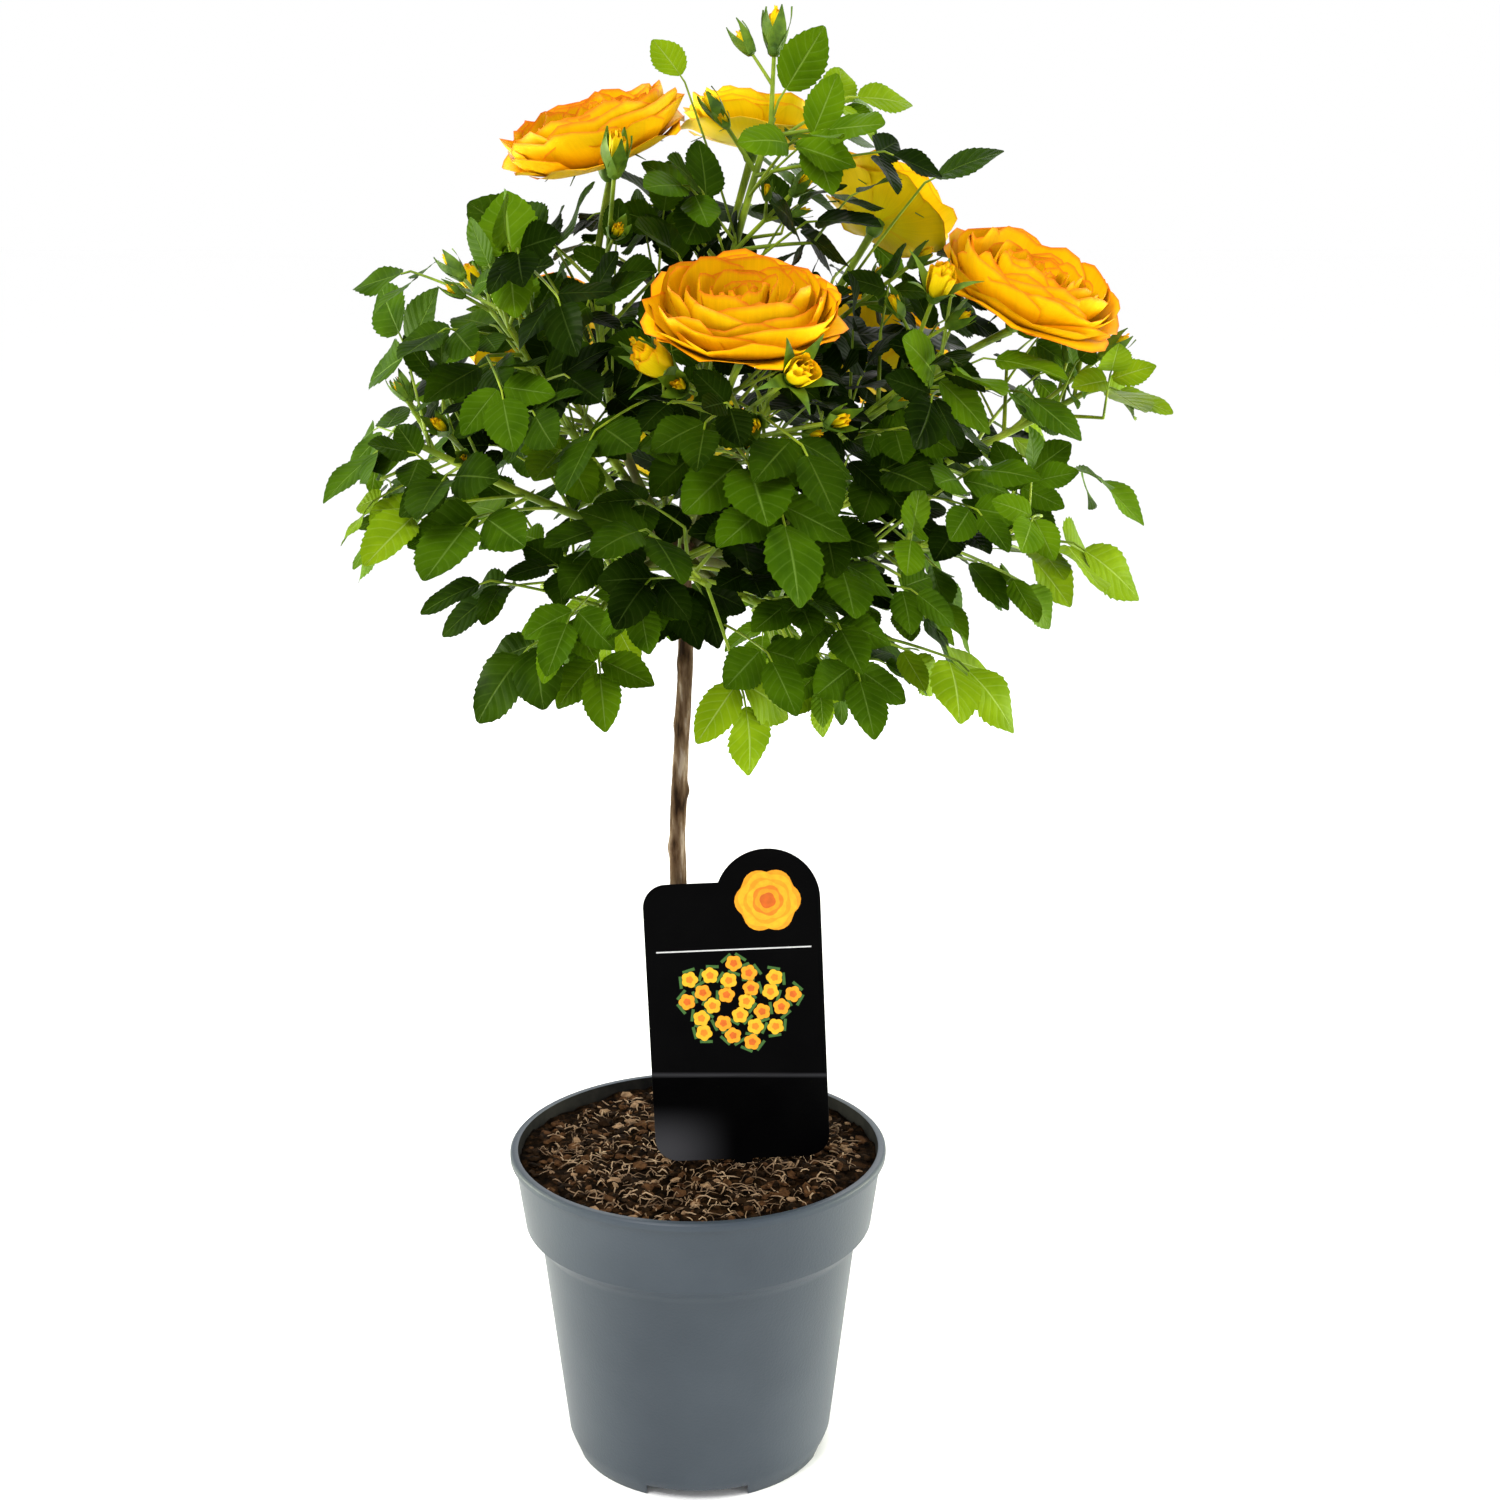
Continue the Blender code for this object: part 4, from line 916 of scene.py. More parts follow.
# Shoot, place along it, tip (mm), leaflet size (mm), pairs.
Lead = namedtuple("Lead", "shoot place tip size pairs")
LEADS = (
    Lead("front", 0.62, (36, -112, 343), 30, 1),
    Lead("far_left", 0.96, (-127, -20, 363), 31, 2),
    Lead("far_left", 0.80, (-124, 30, 326), 27, 1),
    Lead("far_left", 0.70, (-99, -15, 416), 20, 1),
    Lead("left", 0.74, (-86, -50, 400), 26, 1),
    Lead("low_left", 0.90, (-74, -50, 294), 30, 1),
    Lead("low_left", 0.97, (-28, -64, 292), 24, 1),
    Lead("low_right", 0.97, (111, -50, 291), 30, 1),
    Lead("low_right", 0.80, (60, -76, 293), 24, 1),
    Lead("low_front", 0.97, (22, -72, 279), 27, 1),
    Lead("side_right", 0.96, (153, -34, 333), 30, 2),
    Lead("far_right", 0.97, (166, 2, 390), 30, 1),
    Lead("side_right", 0.60, (110, -74, 378), 24, 1),
    Lead("upper_right", 0.60, (103, -6, 479), 27, 0),
    Lead("top", 0.90, (44, -6, 517), 28, 0),
    Lead("upper_left", 0.50, (-76, 0, 462), 26, 1),
)

# Shoot, place along it, tip of the largest bud (mm), its length (mm).
Cluster = namedtuple("Cluster", "shoot place tip length")
CLUSTERS = (
    Cluster("top", 0.985, (28, -2, 524), 16),
    Cluster("top", 0.88, (4, -12, 496), 12),
    Cluster("upper_left", 0.60, (-22, -48, 483), 17),
    Cluster("front", 0.70, (-17, -72, 416), 19),
    Cluster("front", 0.55, (37, -114, 414), 17),
    Cluster("right", 0.66, (82, -48, 442), 16),
    Cluster("far_right", 0.80, (150, 4, 417), 13),
    Cluster("left", 0.98, (-66, -32, 450), 13),
    Cluster("left", 0.80, (-84, -8, 444), 12),
    Cluster("back_left", 0.66, (-84, 30, 440), 14),
    Cluster("back", 0.70, (36, 108, 404), 15),
    Cluster("far_left", 0.90, (-104, 14, 402), 12),
    Cluster("low_back_right", 0.90, (80, 74, 340), 12),
)

Leaf = namedtuple("Leaf", "shoot root joint blades face fine")
Bud = namedtuple("Bud", "shoot root neck tip width radius large")
leaves = []
buds = []
side_twigs = []


def frame_along(base, tip, face):
    """A matrix with Y from base to tip and Z as near as it can be to face."""
    along = (tip - base).normalized()
    upper = (face - along * face.dot(along)).normalized()
    matrix = Matrix((along.cross(upper), along, upper)).transposed().to_4x4()
    matrix.translation = base
    return matrix


def upright_along(base, tip):
    """A matrix with Z from base to tip."""
    matrix = UP.rotation_difference(tip - base).to_matrix().to_4x4()
    matrix.translation = base
    return matrix


def leaf_room(base, tip, face, grow):
    """A lens with six points round its outline, which holds a leaflet."""
    length = (tip - base).length
    shape = bmesh.new()
    bmesh.ops.create_uvsphere(shape, u_segments=6, v_segments=2, radius=1)
    for vert in shape.verts:
        if abs(vert.co.z) > 0.5:
            vert.co = Vector((0, LEAF_CREST * length, vert.co.z * (LEAF_THICKNESS / 2 + grow)))
            continue
        angle = math.atan2(vert.co.x, -vert.co.y)
        share = (1 - math.cos(angle)) / 2
        half_width = (LEAF_FOOT_WIDTH - LEAF_NARROWING * share) * length
        run = share * (1 + LEAF_BULGE * (1 - share)) * length
        middle = 0.5 * length
        run = middle + (run - middle) * (1 + grow / middle)
        vert.co = Vector(((half_width + grow) * math.sin(angle), run, 0))
    shape.transform(frame_along(base, tip, face))
    return shape


def twig_room(base, tip, radius, sides):
    """A straight rod that holds a twig."""
    shape = bmesh.new()
    length = (tip - base).length
    bmesh.ops.create_cone(shape, cap_ends=True, segments=sides, radius1=radius,
                          radius2=radius, depth=length)
    bmesh.ops.translate(shape, verts=shape.verts[:], vec=(0, 0, length / 2))
    shape.transform(upright_along(base, tip))
    return shape


def bud_room(base, tip, width):
    """A pointed body that holds a bud."""
    length = (tip - base).length
    shape = bmesh.new()
    bmesh.ops.create_uvsphere(shape, u_segments=6, v_segments=3, radius=1)
    for vert in shape.verts:
        share = (vert.co.z + 1) / 2
        swell = width * 0.62 * (1 - 0.45 * share)
        vert.co = Vector((vert.co.x * swell, vert.co.y * swell, share ** 1.25 * length))
    shape.transform(upright_along(base, tip))
    return shape


def settles(wood, rooms, name):
    """Keeps the room of a newcomer if there is space for all of it."""
    found = [shape_claim(shape, name) for shape in wood]
    found += [shape_claim(shape, None) for shape in rooms]
    for shape in wood + rooms:
        shape.free()
    if not all(is_free(claim) for claim in found):
        return False
    for claim in found:
        keep(claim)
    return True


# Lanes of open air between the tiers, which the small leaves keep clear. They run together at a
# point before the head: middle (x, z) and half size (x, z) at the stem's plane (mm).
LANES_MEET = Vector((0.019, -0.762, 0.453))
LANES = (
    (-120, 400, 17, 19), (-108, 435, 20, 18),
    (-77, 344, 10, 12), (-94, 318, 26, 21), (-122, 310, 21, 21),
    (153, 376, 20, 15), (148, 362, 17, 9),
    (102, 332, 10, 9), (124, 311, 28, 17),
    (-9, 288, 18, 17), (-51, 283, 8, 12), (75, 274, 21, 11), (-45, 269, 32, 12),
)


def in_lane(point):
    """True where a point is in an open lane."""
    off = point - LANES_MEET
    across, height = (1000 * (LANES_MEET[axis] - off[axis] * LANES_MEET.y / off.y)
                      for axis in (0, 2))
    return any(((across - lane[0]) / lane[2]) ** 2 + ((height - lane[1]) / lane[3]) ** 2 < 1
               for lane in LANES)


def has_air(blades):
    """True where all the blades are inside the head's box and clear of the lanes."""
    points = [start.lerp(end, share) for start, end in blades for share in (0.5, 1)]
    return not any(map(in_lane, points)) and all(
        solid_box[0][axis] < point[axis] < solid_box[1][axis]
        for point in points for axis in range(3))


def kept_in(point):
    """The point, moved into the head's box where it would be outside."""
    return Vector([min(max(point[axis], solid_box[0][axis]), solid_box[1][axis])
                   for axis in range(3)])


def grow_compound(name, root, tip, size, pairs, face, grow=MARGIN, fine=False):
    """Plans one leaf from root to tip, if it has room."""
    reach = tip - root
    along = reach.normalized()
    across = along.cross(face).normalized()
    joint = root + along * max(reach.length - size, SHORTEST_STALK * reach.length)
    joint += (UP - along * along.dot(UP)) * LEAF_ARCH * reach.length
    rachis = joint - root
    blades = [(joint, tip)]
    for share, place in list(zip(PAIR_SIZES, PAIR_PLACES))[:pairs]:
        for side in (-1, 1):
            start = root + rachis * place
            heading = along * math.cos(PAIR_SPREAD) + across * side * math.sin(PAIR_SPREAD)
            heading = (heading - UP * PAIR_DROOP).normalized()
            blades.append((start, start + heading * share * size))
    if fine and not has_air(blades):
        return False
    wood = [twig_room(root.lerp(joint, 0.2), joint, PETIOLE_RADIUS + grow, 3)]
    rooms = [leaf_room(start.lerp(end, 0.10), end, face, grow) for start, end in blades]
    if not settles(wood, rooms, name):
        return False
    leaves.append(Leaf(name, root, joint, blades, face, fine))
    return True


def facing(point):
    """The way a leaf's upper face looks: up and out of the head."""
    out = point - GRAFT
    out.z = 0
    return (UP + FACE_OUT * out.normalized()).normalized()


def grow_bud(root, neck, length, twig_radius, name, large):
    """Plans a bud on its twig, if it has room: the neck is where the two meet."""
    along = (neck - root).normalized()
    tip = neck + along * length
    width = BUD_WIDTH * length
    wood = [twig_room(root + along * BOUGH_RADIUS, neck, twig_radius + MARGIN, 4)]
    rooms = [bud_room(neck, tip + along * MARGIN, width + 2 * MARGIN)]
    if not settles(wood, rooms, name):
        return False
    buds.append(Bud(name, root, neck, tip, width, twig_radius, large))
    return True


def grow_cluster(cluster, rng, large=True):
    """A side twig with a large bud at its end and two smaller ones that fork from it."""
    turn = rng.uniform(0, 2 * math.pi)
    root = lines[cluster.shoot].at(cluster.place)
    tip = millimetres(cluster.tip)
    length = cluster.length * 0.001
    along = (tip - root).normalized()
    neck = tip - along * length
    if not grow_bud(root, neck, length, BUD_TWIG_RADIUS, cluster.shoot, large):
        return
    fork = root.lerp(neck, FORK_SHARE)
    side = along.orthogonal().normalized()
    small = SIDE_BUD_SIZE * length
    for index in range(2):
        out = Matrix.Rotation(turn + math.pi * index, 3, along) @ side
        heading = FORK_ALONG * along + FORK_OUT * out
        grow_bud(fork, fork + heading * SIDE_BUD_STALK * small, small, 0.75 * BUD_TWIG_RADIUS,
                 cluster.shoot, False)


def distance_to(line, point):
    """Distance from a point to the leafy stretch of a shoot."""
    return min((line.at(share) - point).length for share in LEAFY_SHARES)


def in_reach(point, name):
    """True where a point is inside the head and in its own shoot's space."""
    off = point - CROWN_CENTRE
    if sum((off[axis] / CROWN_REACH[axis]) ** 2 for axis in range(3)) > 1:
        return False
    own = distance_to(lines[name], point)
    return own < min(distance_to(line, point) for other, line in lines.items()
                     if other != name) + SHARED_DEPTH


def grow_leaf(shoot, joint, rng):
    """One leaf at a joint, turned on from the joint before it until it finds room."""
    line = lines[shoot.name]
    last = leafy_end(shoot) - 0.02
    place = FIRST_LEAF_SHARE + (last - FIRST_LEAF_SHARE) * (joint + 0.5) / shoot.joints
    draws = [(rng.uniform(-0.5, 0.5), rng.uniform(-0.2, 0.5), rng.uniform(0.86, 1.12),
              rng.random(), rng.uniform(-0.5, 0.5), rng.uniform(-0.5, 0.5))
             for _ in range(TRIES)]
    root = line.at(place)
    heading = line.heading_at(place)
    side = heading.orthogonal().normalized()
    for attempt, (turn, rise, growth, kind, roll_x, roll_y) in enumerate(draws):
        angle = GOLDEN_TURN * joint + turn + attempt * TRY_TURN
        out = Matrix.Rotation(angle, 3, heading) @ side
        aim = (out + heading * (LEAF_FORWARD + rise) + UP * LEAF_RISE).normalized()
        size = LEAF_SIZE * growth * (1 - TRY_SHRINK * attempt)
        pairs = 2 if kind < TWO_PAIR_SHARE else 1
        tip = root + aim * size * (LEAF_STALK + PAIR_STALK * pairs) - UP * LEAF_SAG * size
        if not in_reach(tip, shoot.name):
            continue
        face = (facing(tip) + Vector((roll_x, roll_y, 0))).normalized()
        if grow_compound(shoot.name, root, tip, size, pairs, face):
            return


for shoot in flowering:
    line = lines[shoot.name]
    radius = shoot.bloom * 0.001
    room = bmesh.new()
    bmesh.ops.create_uvsphere(room, u_segments=12, v_segments=8, radius=1)
    room.transform(Matrix.Diagonal((1.08 * radius, 1.08 * radius, 0.62 * radius, 1)))
    turn = UP.rotation_difference(line.face).to_matrix().to_4x4()
    turn.translation = line.end + line.face * 0.5 * radius
    room.transform(turn)
    keep(shape_claim(room, None))
    room.free()
    points, radii = line.stretch(BLOOM_SHARE, 0.98, 3)
    claim_limb(points, [width + 2 * MARGIN for width in radii])
for lead in LEADS:
    tip = millimetres(lead.tip)
    grow_compound(lead.shoot, lines[lead.shoot].at(lead.place), tip, lead.size * 0.001,
                  lead.pairs, facing(tip))
rng = random.Random(GROWTH_SEED)
for cluster in CLUSTERS:
    grow_cluster(cluster, rng)
for joint in range(max(shoot.joints for shoot in SHOOTS)):
    for shoot in SHOOTS:
        if joint < shoot.joints:
            grow_leaf(shoot, joint, rng)

# ------------------------------------------------------------------ finer growth
# Small green buds, side twigs and smaller leaves that fill the head. The first are placed by
# name, as above, and the others grow from the joints between the large leaves. They leave open
# lanes between the tiers, through which the sky shows.

FINE_JOINTS = 15
FINE_SIZE = 0.024
FINE_MARGIN = 0.0
FINE_TRIES = 14
FINE_TWO_PAIRS = 0.35
FINE_LEAD_TRIES = 30
TWIG_LENGTH = 0.026
TWIG_RADIUS = 0.0008
TWIG_TURNS = (0.0, 2.2, 4.2)

SPRIGS = (
    Cluster("front", 0.46, (-6, -88, 399), 12),
    Cluster("front", 0.60, (22, -104, 398), 13),
    Cluster("front", 0.50, (50, -90, 396), 12),
    Cluster("front", 0.38, (36, -68, 384), 11),
    Cluster("right", 0.42, (74, -52, 408), 12),
    Cluster("right", 0.85, (130, -38, 410), 14),
    Cluster("left", 0.60, (-46, -50, 424), 11),
    Cluster("upper_right", 0.62, (82, 2, 446), 11),
    Cluster("top", 0.70, (40, -22, 470), 11),
    Cluster("far_left", 0.70, (-84, -44, 392), 11),
)
FINE_LEADS = (
    Lead("right", 0.60, (122, -46, 408), 28, 0),
    Lead("right", 0.50, (68, -14, 424), 25, 1),
    Lead("upper_right", 0.50, (60, 0, 436), 24, 1),
    Lead("upper_right", 0.40, (44, -14, 442), 24, 1),
    Lead("back_right", 0.60, (74, 40, 420), 25, 1),
    Lead("left", 0.60, (-28, -34, 440), 24, 1),
    Lead("left", 0.50, (-54, -20, 424), 24, 1),
    Lead("back_left", 0.60, (-48, 34, 426), 25, 1),
    Lead("upper_left", 0.50, (-22, -36, 456), 24, 1),
    Lead("upper_back", 0.50, (16, -8, 458), 24, 1),
    Lead("left", 0.42, (-18, -2, 384), 24, 1),
    Lead("front", 0.42, (-14, -34, 388), 25, 1),
    Lead("back", 0.50, (-12, 44, 392), 25, 1),
    Lead("upper_left", 0.42, (-24, -8, 400), 24, 1),
    Lead("upper_right", 0.50, (74, 8, 416), 25, 1),
    Lead("right", 0.45, (70, 4, 412), 24, 1),
    Lead("upper_left", 0.50, (-50, 4, 440), 25, 1),
    Lead("left", 0.55, (-50, -10, 436), 24, 1),
    Lead("low_front", 0.70, (-16, -54, 318), 25, 1),
    Lead("low_front", 0.60, (10, -44, 316), 24, 1),
    Lead("left", 0.80, (-92, -14, 446), 22, 1),
    Lead("left", 0.86, (-86, -22, 424), 22, 1),
    Lead("top", 0.78, (-18, 6, 508), 22, 0),
    Lead("right", 0.55, (62, 8, 400), 26, 1),
    Lead("back_right", 0.50, (52, 36, 408), 26, 1),
    Lead("upper_right", 0.45, (74, 24, 402), 25, 1),
    Lead("back", 0.45, (34, 36, 400), 25, 1),
    Lead("right", 0.40, (78, 26, 414), 27, 1),
    Lead("back_right", 0.60, (60, 30, 420), 26, 1),
    Lead("back_right", 0.70, (88, 24, 404), 25, 1),
    Lead("far_right", 0.45, (70, 30, 396), 26, 1),
    Lead("upper_right", 0.36, (56, 24, 392), 25, 1),
)


def side_facing(point, rng):
    """The way a small leaf looks: those at the sides of the head turn a little to the front."""
    turn = Vector((rng.uniform(-0.6, 0.6), rng.uniform(-0.6, 0.6) - 7 * abs(point.x), 0))
    return (facing(point) + turn).normalized()


def grow_fine(shoot, joint, rng):
    """A smaller leaf on the shoot, or two on a short side twig, where there is room."""
    line = lines[shoot.name]
    last = leafy_end(shoot) - 0.01
    place = FIRST_LEAF_SHARE + (last - FIRST_LEAF_SHARE) * (joint + 0.2) / FINE_JOINTS
    heading = line.heading_at(place)
    side = heading.orthogonal().normalized()
    with_twig = joint % 2 == 0
    for attempt in range(FINE_TRIES):
        angle = GOLDEN_TURN * (joint + 0.37) + attempt * 0.9 + rng.uniform(-0.3, 0.3)
        out = Matrix.Rotation(angle, 3, heading) @ side
        aim = (out + heading * rng.uniform(0.2, 0.9)).normalized()
        size = FINE_SIZE * rng.uniform(0.80, 1.15) * (1 - 0.02 * attempt)
        root = line.at(place)
        if with_twig:
            twig_tip = root + aim * TWIG_LENGTH * rng.uniform(0.7, 1.2)
            if not settles([twig_room(root.lerp(twig_tip, 0.15), twig_tip, TWIG_RADIUS, 3)], [],
                           shoot.name):
                continue
            grown = 0
            for offset in TWIG_TURNS:
                way = Matrix.Rotation(offset + rng.uniform(-0.4, 0.4), 3, aim) @ \
                    aim.orthogonal().normalized()
                way = (way + aim * rng.uniform(0.5, 1.0)).normalized()
                base = root.lerp(twig_tip, 1.0 - 0.3 * (grown > 0))
                tip = base + way * size * 2.2 - UP * 0.3 * size
                if not in_reach(tip, shoot.name):
                    continue
                grown += grow_compound(shoot.name, base, tip, size, 1, side_facing(tip, rng),
                                       FINE_MARGIN, True)
            if grown:
                side_twigs.append((root, twig_tip))
                return
            continue
        tip = root + aim * size * 2.5 - UP * 0.3 * size
        if not in_reach(tip, shoot.name):
            continue
        pairs = 2 if rng.random() < FINE_TWO_PAIRS else 1
        if grow_compound(shoot.name, root, tip, size, pairs, side_facing(tip, rng),
                         FINE_MARGIN, True):
            return


for sprig in SPRIGS:
    grow_cluster(sprig, rng, False)
for lead in FINE_LEADS:
    for attempt in range(FINE_LEAD_TRIES):
        tip = millimetres([place + rng.uniform(-0.4, 0.4) * attempt for place in lead.tip])
        root = lines[lead.shoot].at(lead.place + rng.uniform(-0.008, 0.008) * attempt)
        if grow_compound(lead.shoot, root, tip, lead.size * 0.001 * (1 - 0.01 * attempt),
                         lead.pairs, side_facing(tip, rng), FINE_MARGIN, True):
            break
for joint in range(FINE_JOINTS):
    for shoot in SHOOTS:
        grow_fine(shoot, joint, rng)

# ------------------------------------------------------------------ stalks and prickles
# The green wood that carries the leaves and buds: leafy shoots, side twigs, bud stalks and the
# thin leaf stalks, all joined, with hooked prickles on the older wood.

LEAF_STALK_RADII = (0.00062, 0.00042, 0.00034)
FINE_THINNER = 0.8
END_STALK = 0.14
STALK_STOP = 0.0060
PRICKLE = 0.0030
PRICKLES = 7
PRICKLE_SEED = 11


def stalk_between(curve, root, tip, first, last, sag=0.0, steps=6):
    """Adds a slightly bowed stalk that thins from its root to its tip."""
    middle = root.lerp(tip, 0.5) + UP * sag * (tip - root).length
    shares = [step / steps for step in range(steps + 1)]
    strand(curve, [bend(root, middle, tip, share) for share in shares],
           [first + (last - first) * share for share in shares])


for leaf in leaves:
    foot, joint, end = [radius * (FINE_THINNER if leaf.fine else 1.0)
                        for radius in LEAF_STALK_RADII]
    stalk_between(shoot_curve, leaf.root, leaf.joint, foot, joint, 0.04, 5)
    stalk_between(shoot_curve, leaf.joint, leaf.joint.lerp(leaf.blades[0][1], END_STALK + 0.02),
                  joint, end, 0, 1)
for root, tip in side_twigs:
    stalk_between(shoot_curve, root, tip, TWIG_RADIUS, 0.7 * TWIG_RADIUS, 0.03)
for item in buds:
    along = (item.neck - item.root).normalized()
    stalk_between(shoot_curve, item.root, item.neck + along * BUD_LAP * item.width, item.radius,
                  0.8 * item.radius, 0.02)
for shoot in flowering:
    line = lines[shoot.name]
    start, run = line.at(BLOOM_SHARE - 0.01), line.heading_at(BLOOM_SHARE)
    foot = line.end - line.face * STALK_STOP
    sway = start.lerp(foot, 0.5) + run * 0.0044
    first = line.radius_at(BLOOM_SHARE)
    shares = [index / 8 for index in range(9)]
    strand(shoot_curve, [bend(start, sway, foot, share) for share in shares],
           [first * (1 + 0.25 * share ** 2) for share in shares])
wood = strands_mesh(shoot_curve)
draw = random.Random(PRICKLE_SEED)
for shoot in SHOOTS:
    line = lines[shoot.name]
    for index in range(PRICKLES):
        place = draw.uniform(0.08, 0.8)
        heading = line.heading_at(place)
        out = Matrix.Rotation(draw.uniform(0, 6.3), 3, heading) @ \
            heading.orthogonal().normalized()
        size = PRICKLE * draw.uniform(0.5, 1.0)
        base = line.at(place) + out * line.radius_at(place) * 0.8
        hook = upright_along(base, base + out - heading * 0.35)
        bmesh.ops.create_cone(wood, cap_ends=True, segments=5, radius1=0.28 * size,
                              radius2=0.02 * size, depth=size,
                              matrix=hook @ Matrix.Translation((0, 0, size / 2)))
stalk_green = mottled("stalk_green", [(0.060, 0.100, 0.003), (0.150, 0.230, 0.008),
                                      (0.280, 0.370, 0.018)], 0.012, 0.45, 0.0008, 0.00008)
stalks = piece_of("stalks", wood, [stalk_green], 60)
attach(stalks, "root")
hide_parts(*["mass_" + shoot.name for shoot in SHOOTS])

# ------------------------------------------------------------------ leaves
# Toothed leaflets, folded a little along a pale midrib and curled down at the tip, with side
# veins that run forward to the teeth. The leaves inside the head are painted nearly
# black-green as shade, and those outside and below are painted bright as if lit.

TEETH = 10
TOOTH_REACH = 1.09
LEAF_ROWS = [0.012 + 0.975 * (row / TEETH) ** 0.94 for row in range(TEETH + 1)]
LEAF_WIDTH = 0.35
LEAF_FOOT_CURVE = 0.62
LEAF_TIP_CURVE = 0.85
LEAF_PEAK = 0.368
LEAF_VEINS = 7
SIDE_STALK = 0.06
LEAF_SEED = 5

# The topmost leaves stand up, with their faces to the front.
TOP_LEAVES = 0.502
UPRIGHT_FACE = Vector((0.25, -0.85, 0.45))


def leaf_width(share):
    """Half a leaflet's width at a share of its length: an oval, a little fuller at the foot."""
    oval = share ** LEAF_FOOT_CURVE * (1 - share) ** LEAF_TIP_CURVE
    return LEAF_WIDTH * oval / LEAF_PEAK


def leaflet(fold, curl, wave, twist):
    """A leaflet's mesh, of length 1 along Y, with its own map: a grid and its teeth, then bent."""
    shape = bmesh.new()
    blade_map = shape.loops.layers.uv.new("blade")
    flat = bmesh.ops.create_grid(shape, x_segments=4, y_segments=TEETH, size=1)["verts"]
    spots = {(round(2 * vert.co.x), round((vert.co.y + 1) / 2 * TEETH)): vert for vert in flat}
    for (column, row), vert in spots.items():
        vert.co = (column / 2, LEAF_ROWS[row], 0)
    for row in range(TEETH):
        low, high = LEAF_ROWS[row], LEAF_ROWS[row + 1]
        for side in (-1, 1):
            tooth = shape.verts.new((side * TOOTH_REACH, high - 0.2 * (high - low), 0))
            corners = (spots[2 * side, row], tooth, spots[2 * side, row + 1])
            shape.faces.new(corners[::side])
    for vert in shape.verts:
        across, share, _ = vert.co
        for loop in vert.link_loops:
            loop[blade_map].uv = (0.5 + across / (2 * TOOTH_REACH), share)
        reach = across * leaf_width(share)
        rise = fold * abs(reach) + wave * math.sin(6 * share + across) * abs(reach)
        rise -= curl * share ** 2.2 + 0.30 * reach ** 2
        angle = twist * share
        vert.co = (reach * math.cos(angle), share, rise + reach * math.sin(angle))
    mesh = bpy.data.meshes.new("leaflet")
    shape.to_mesh(mesh)
    shape.free()
    return mesh


leaflets = [leaflet(0.16, 0.12, 0.10, 0.10), leaflet(0.34, 0.05, 0.16, -0.15),
            leaflet(0.06, 0.22, 0.20, 0.05), leaflet(0.24, 0.15, -0.14, 0.20),
            leaflet(0.12, 0.02, -0.18, -0.08)]


def leaf_finish(name, dark, light, rib):
    """Leaf skin, mottled between two greens, with sunken side veins and a pale midrib."""
    finish = mottled(name, [dark, light], 0.012, 0.46, shine=0.02)
    shader = finish.node_tree.nodes["Principled BSDF"]
    shader.inputs["Specular Tint"].default_value = (0.75, 1.0, 0.15, 1)
    spot = spot_on(finish, "UV")
    side = reckon(finish, "ABSOLUTE", reckon(finish, "SUBTRACT", spot["X"], 0.5))
    run = reckon(finish, "SUBTRACT", spot["Y"], reckon(finish, "MULTIPLY", side, 0.50))
    off_vein = reckon(finish, "PINGPONG", reckon(finish, "MULTIPLY", run, LEAF_VEINS), 0.5)
    near_vein = reckon(finish, "SUBTRACT", 1, reckon(finish, "MULTIPLY", off_vein, 9))
    vein = reckon(finish, "MULTIPLY", reckon(finish, "MAXIMUM", near_vein, 0), 0.22)
    near_rib = reckon(finish, "SUBTRACT", 1, reckon(finish, "MULTIPLY", side, 34))
    midrib = reckon(finish, "MAXIMUM", near_rib, 0)
    tinted(finish, reckon(finish, "MAXIMUM", vein, midrib), rib)
    raised(finish, reckon(finish, "SUBTRACT", off_vein, midrib), 0.00028, 0.8)
    return finish


# The greens from the inside of the head out, from painted shade to painted light: the two tones of
# the skin, and the midrib.
greens = (("deep", (0.0015, 0.005, 0.0003), (0.007, 0.018, 0.0006), (0.025, 0.045, 0.006)),
          ("dark", (0.008, 0.022, 0.0005), (0.024, 0.056, 0.0012), (0.060, 0.105, 0.012)),
          ("mid", (0.022, 0.056, 0.0009), (0.046, 0.102, 0.0016), (0.100, 0.175, 0.022)),
          ("bright_lit", (0.048, 0.108, 0.0014), (0.084, 0.164, 0.0022), (0.160, 0.255, 0.034)),
          ("brightest_lit", (0.105, 0.185, 0.0022), (0.165, 0.260, 0.0040), (0.260, 0.360, 0.060)))


def shade_of(leaf, draw):
    """Which green a leaf has, as painted shade and light: the further out, low or to the side it
    is, the brighter.

    A random part and a slow noise keep neighbours from being all alike.
    """
    off = leaf.blades[0][1] - CROWN_CENTRE
    out = math.sqrt(sum((off[axis] / CROWN_REACH[axis]) ** 2 for axis in range(3)))
    low, aside = -off.z / CROWN_REACH.z, abs(off.x) / CROWN_REACH.x
    score = 0.28 + 0.30 * (low + 0.20) ** 2 + 0.90 * (out - 0.80) + draw.gauss(0, 0.17)
    score += 1.30 * max(aside - 0.70, 0) if low < 0.6 else 0
    score += 0.42 * noise.noise(22 * leaf.root)
    return min(len(greens) - 1, max(0, int(score * len(greens))))


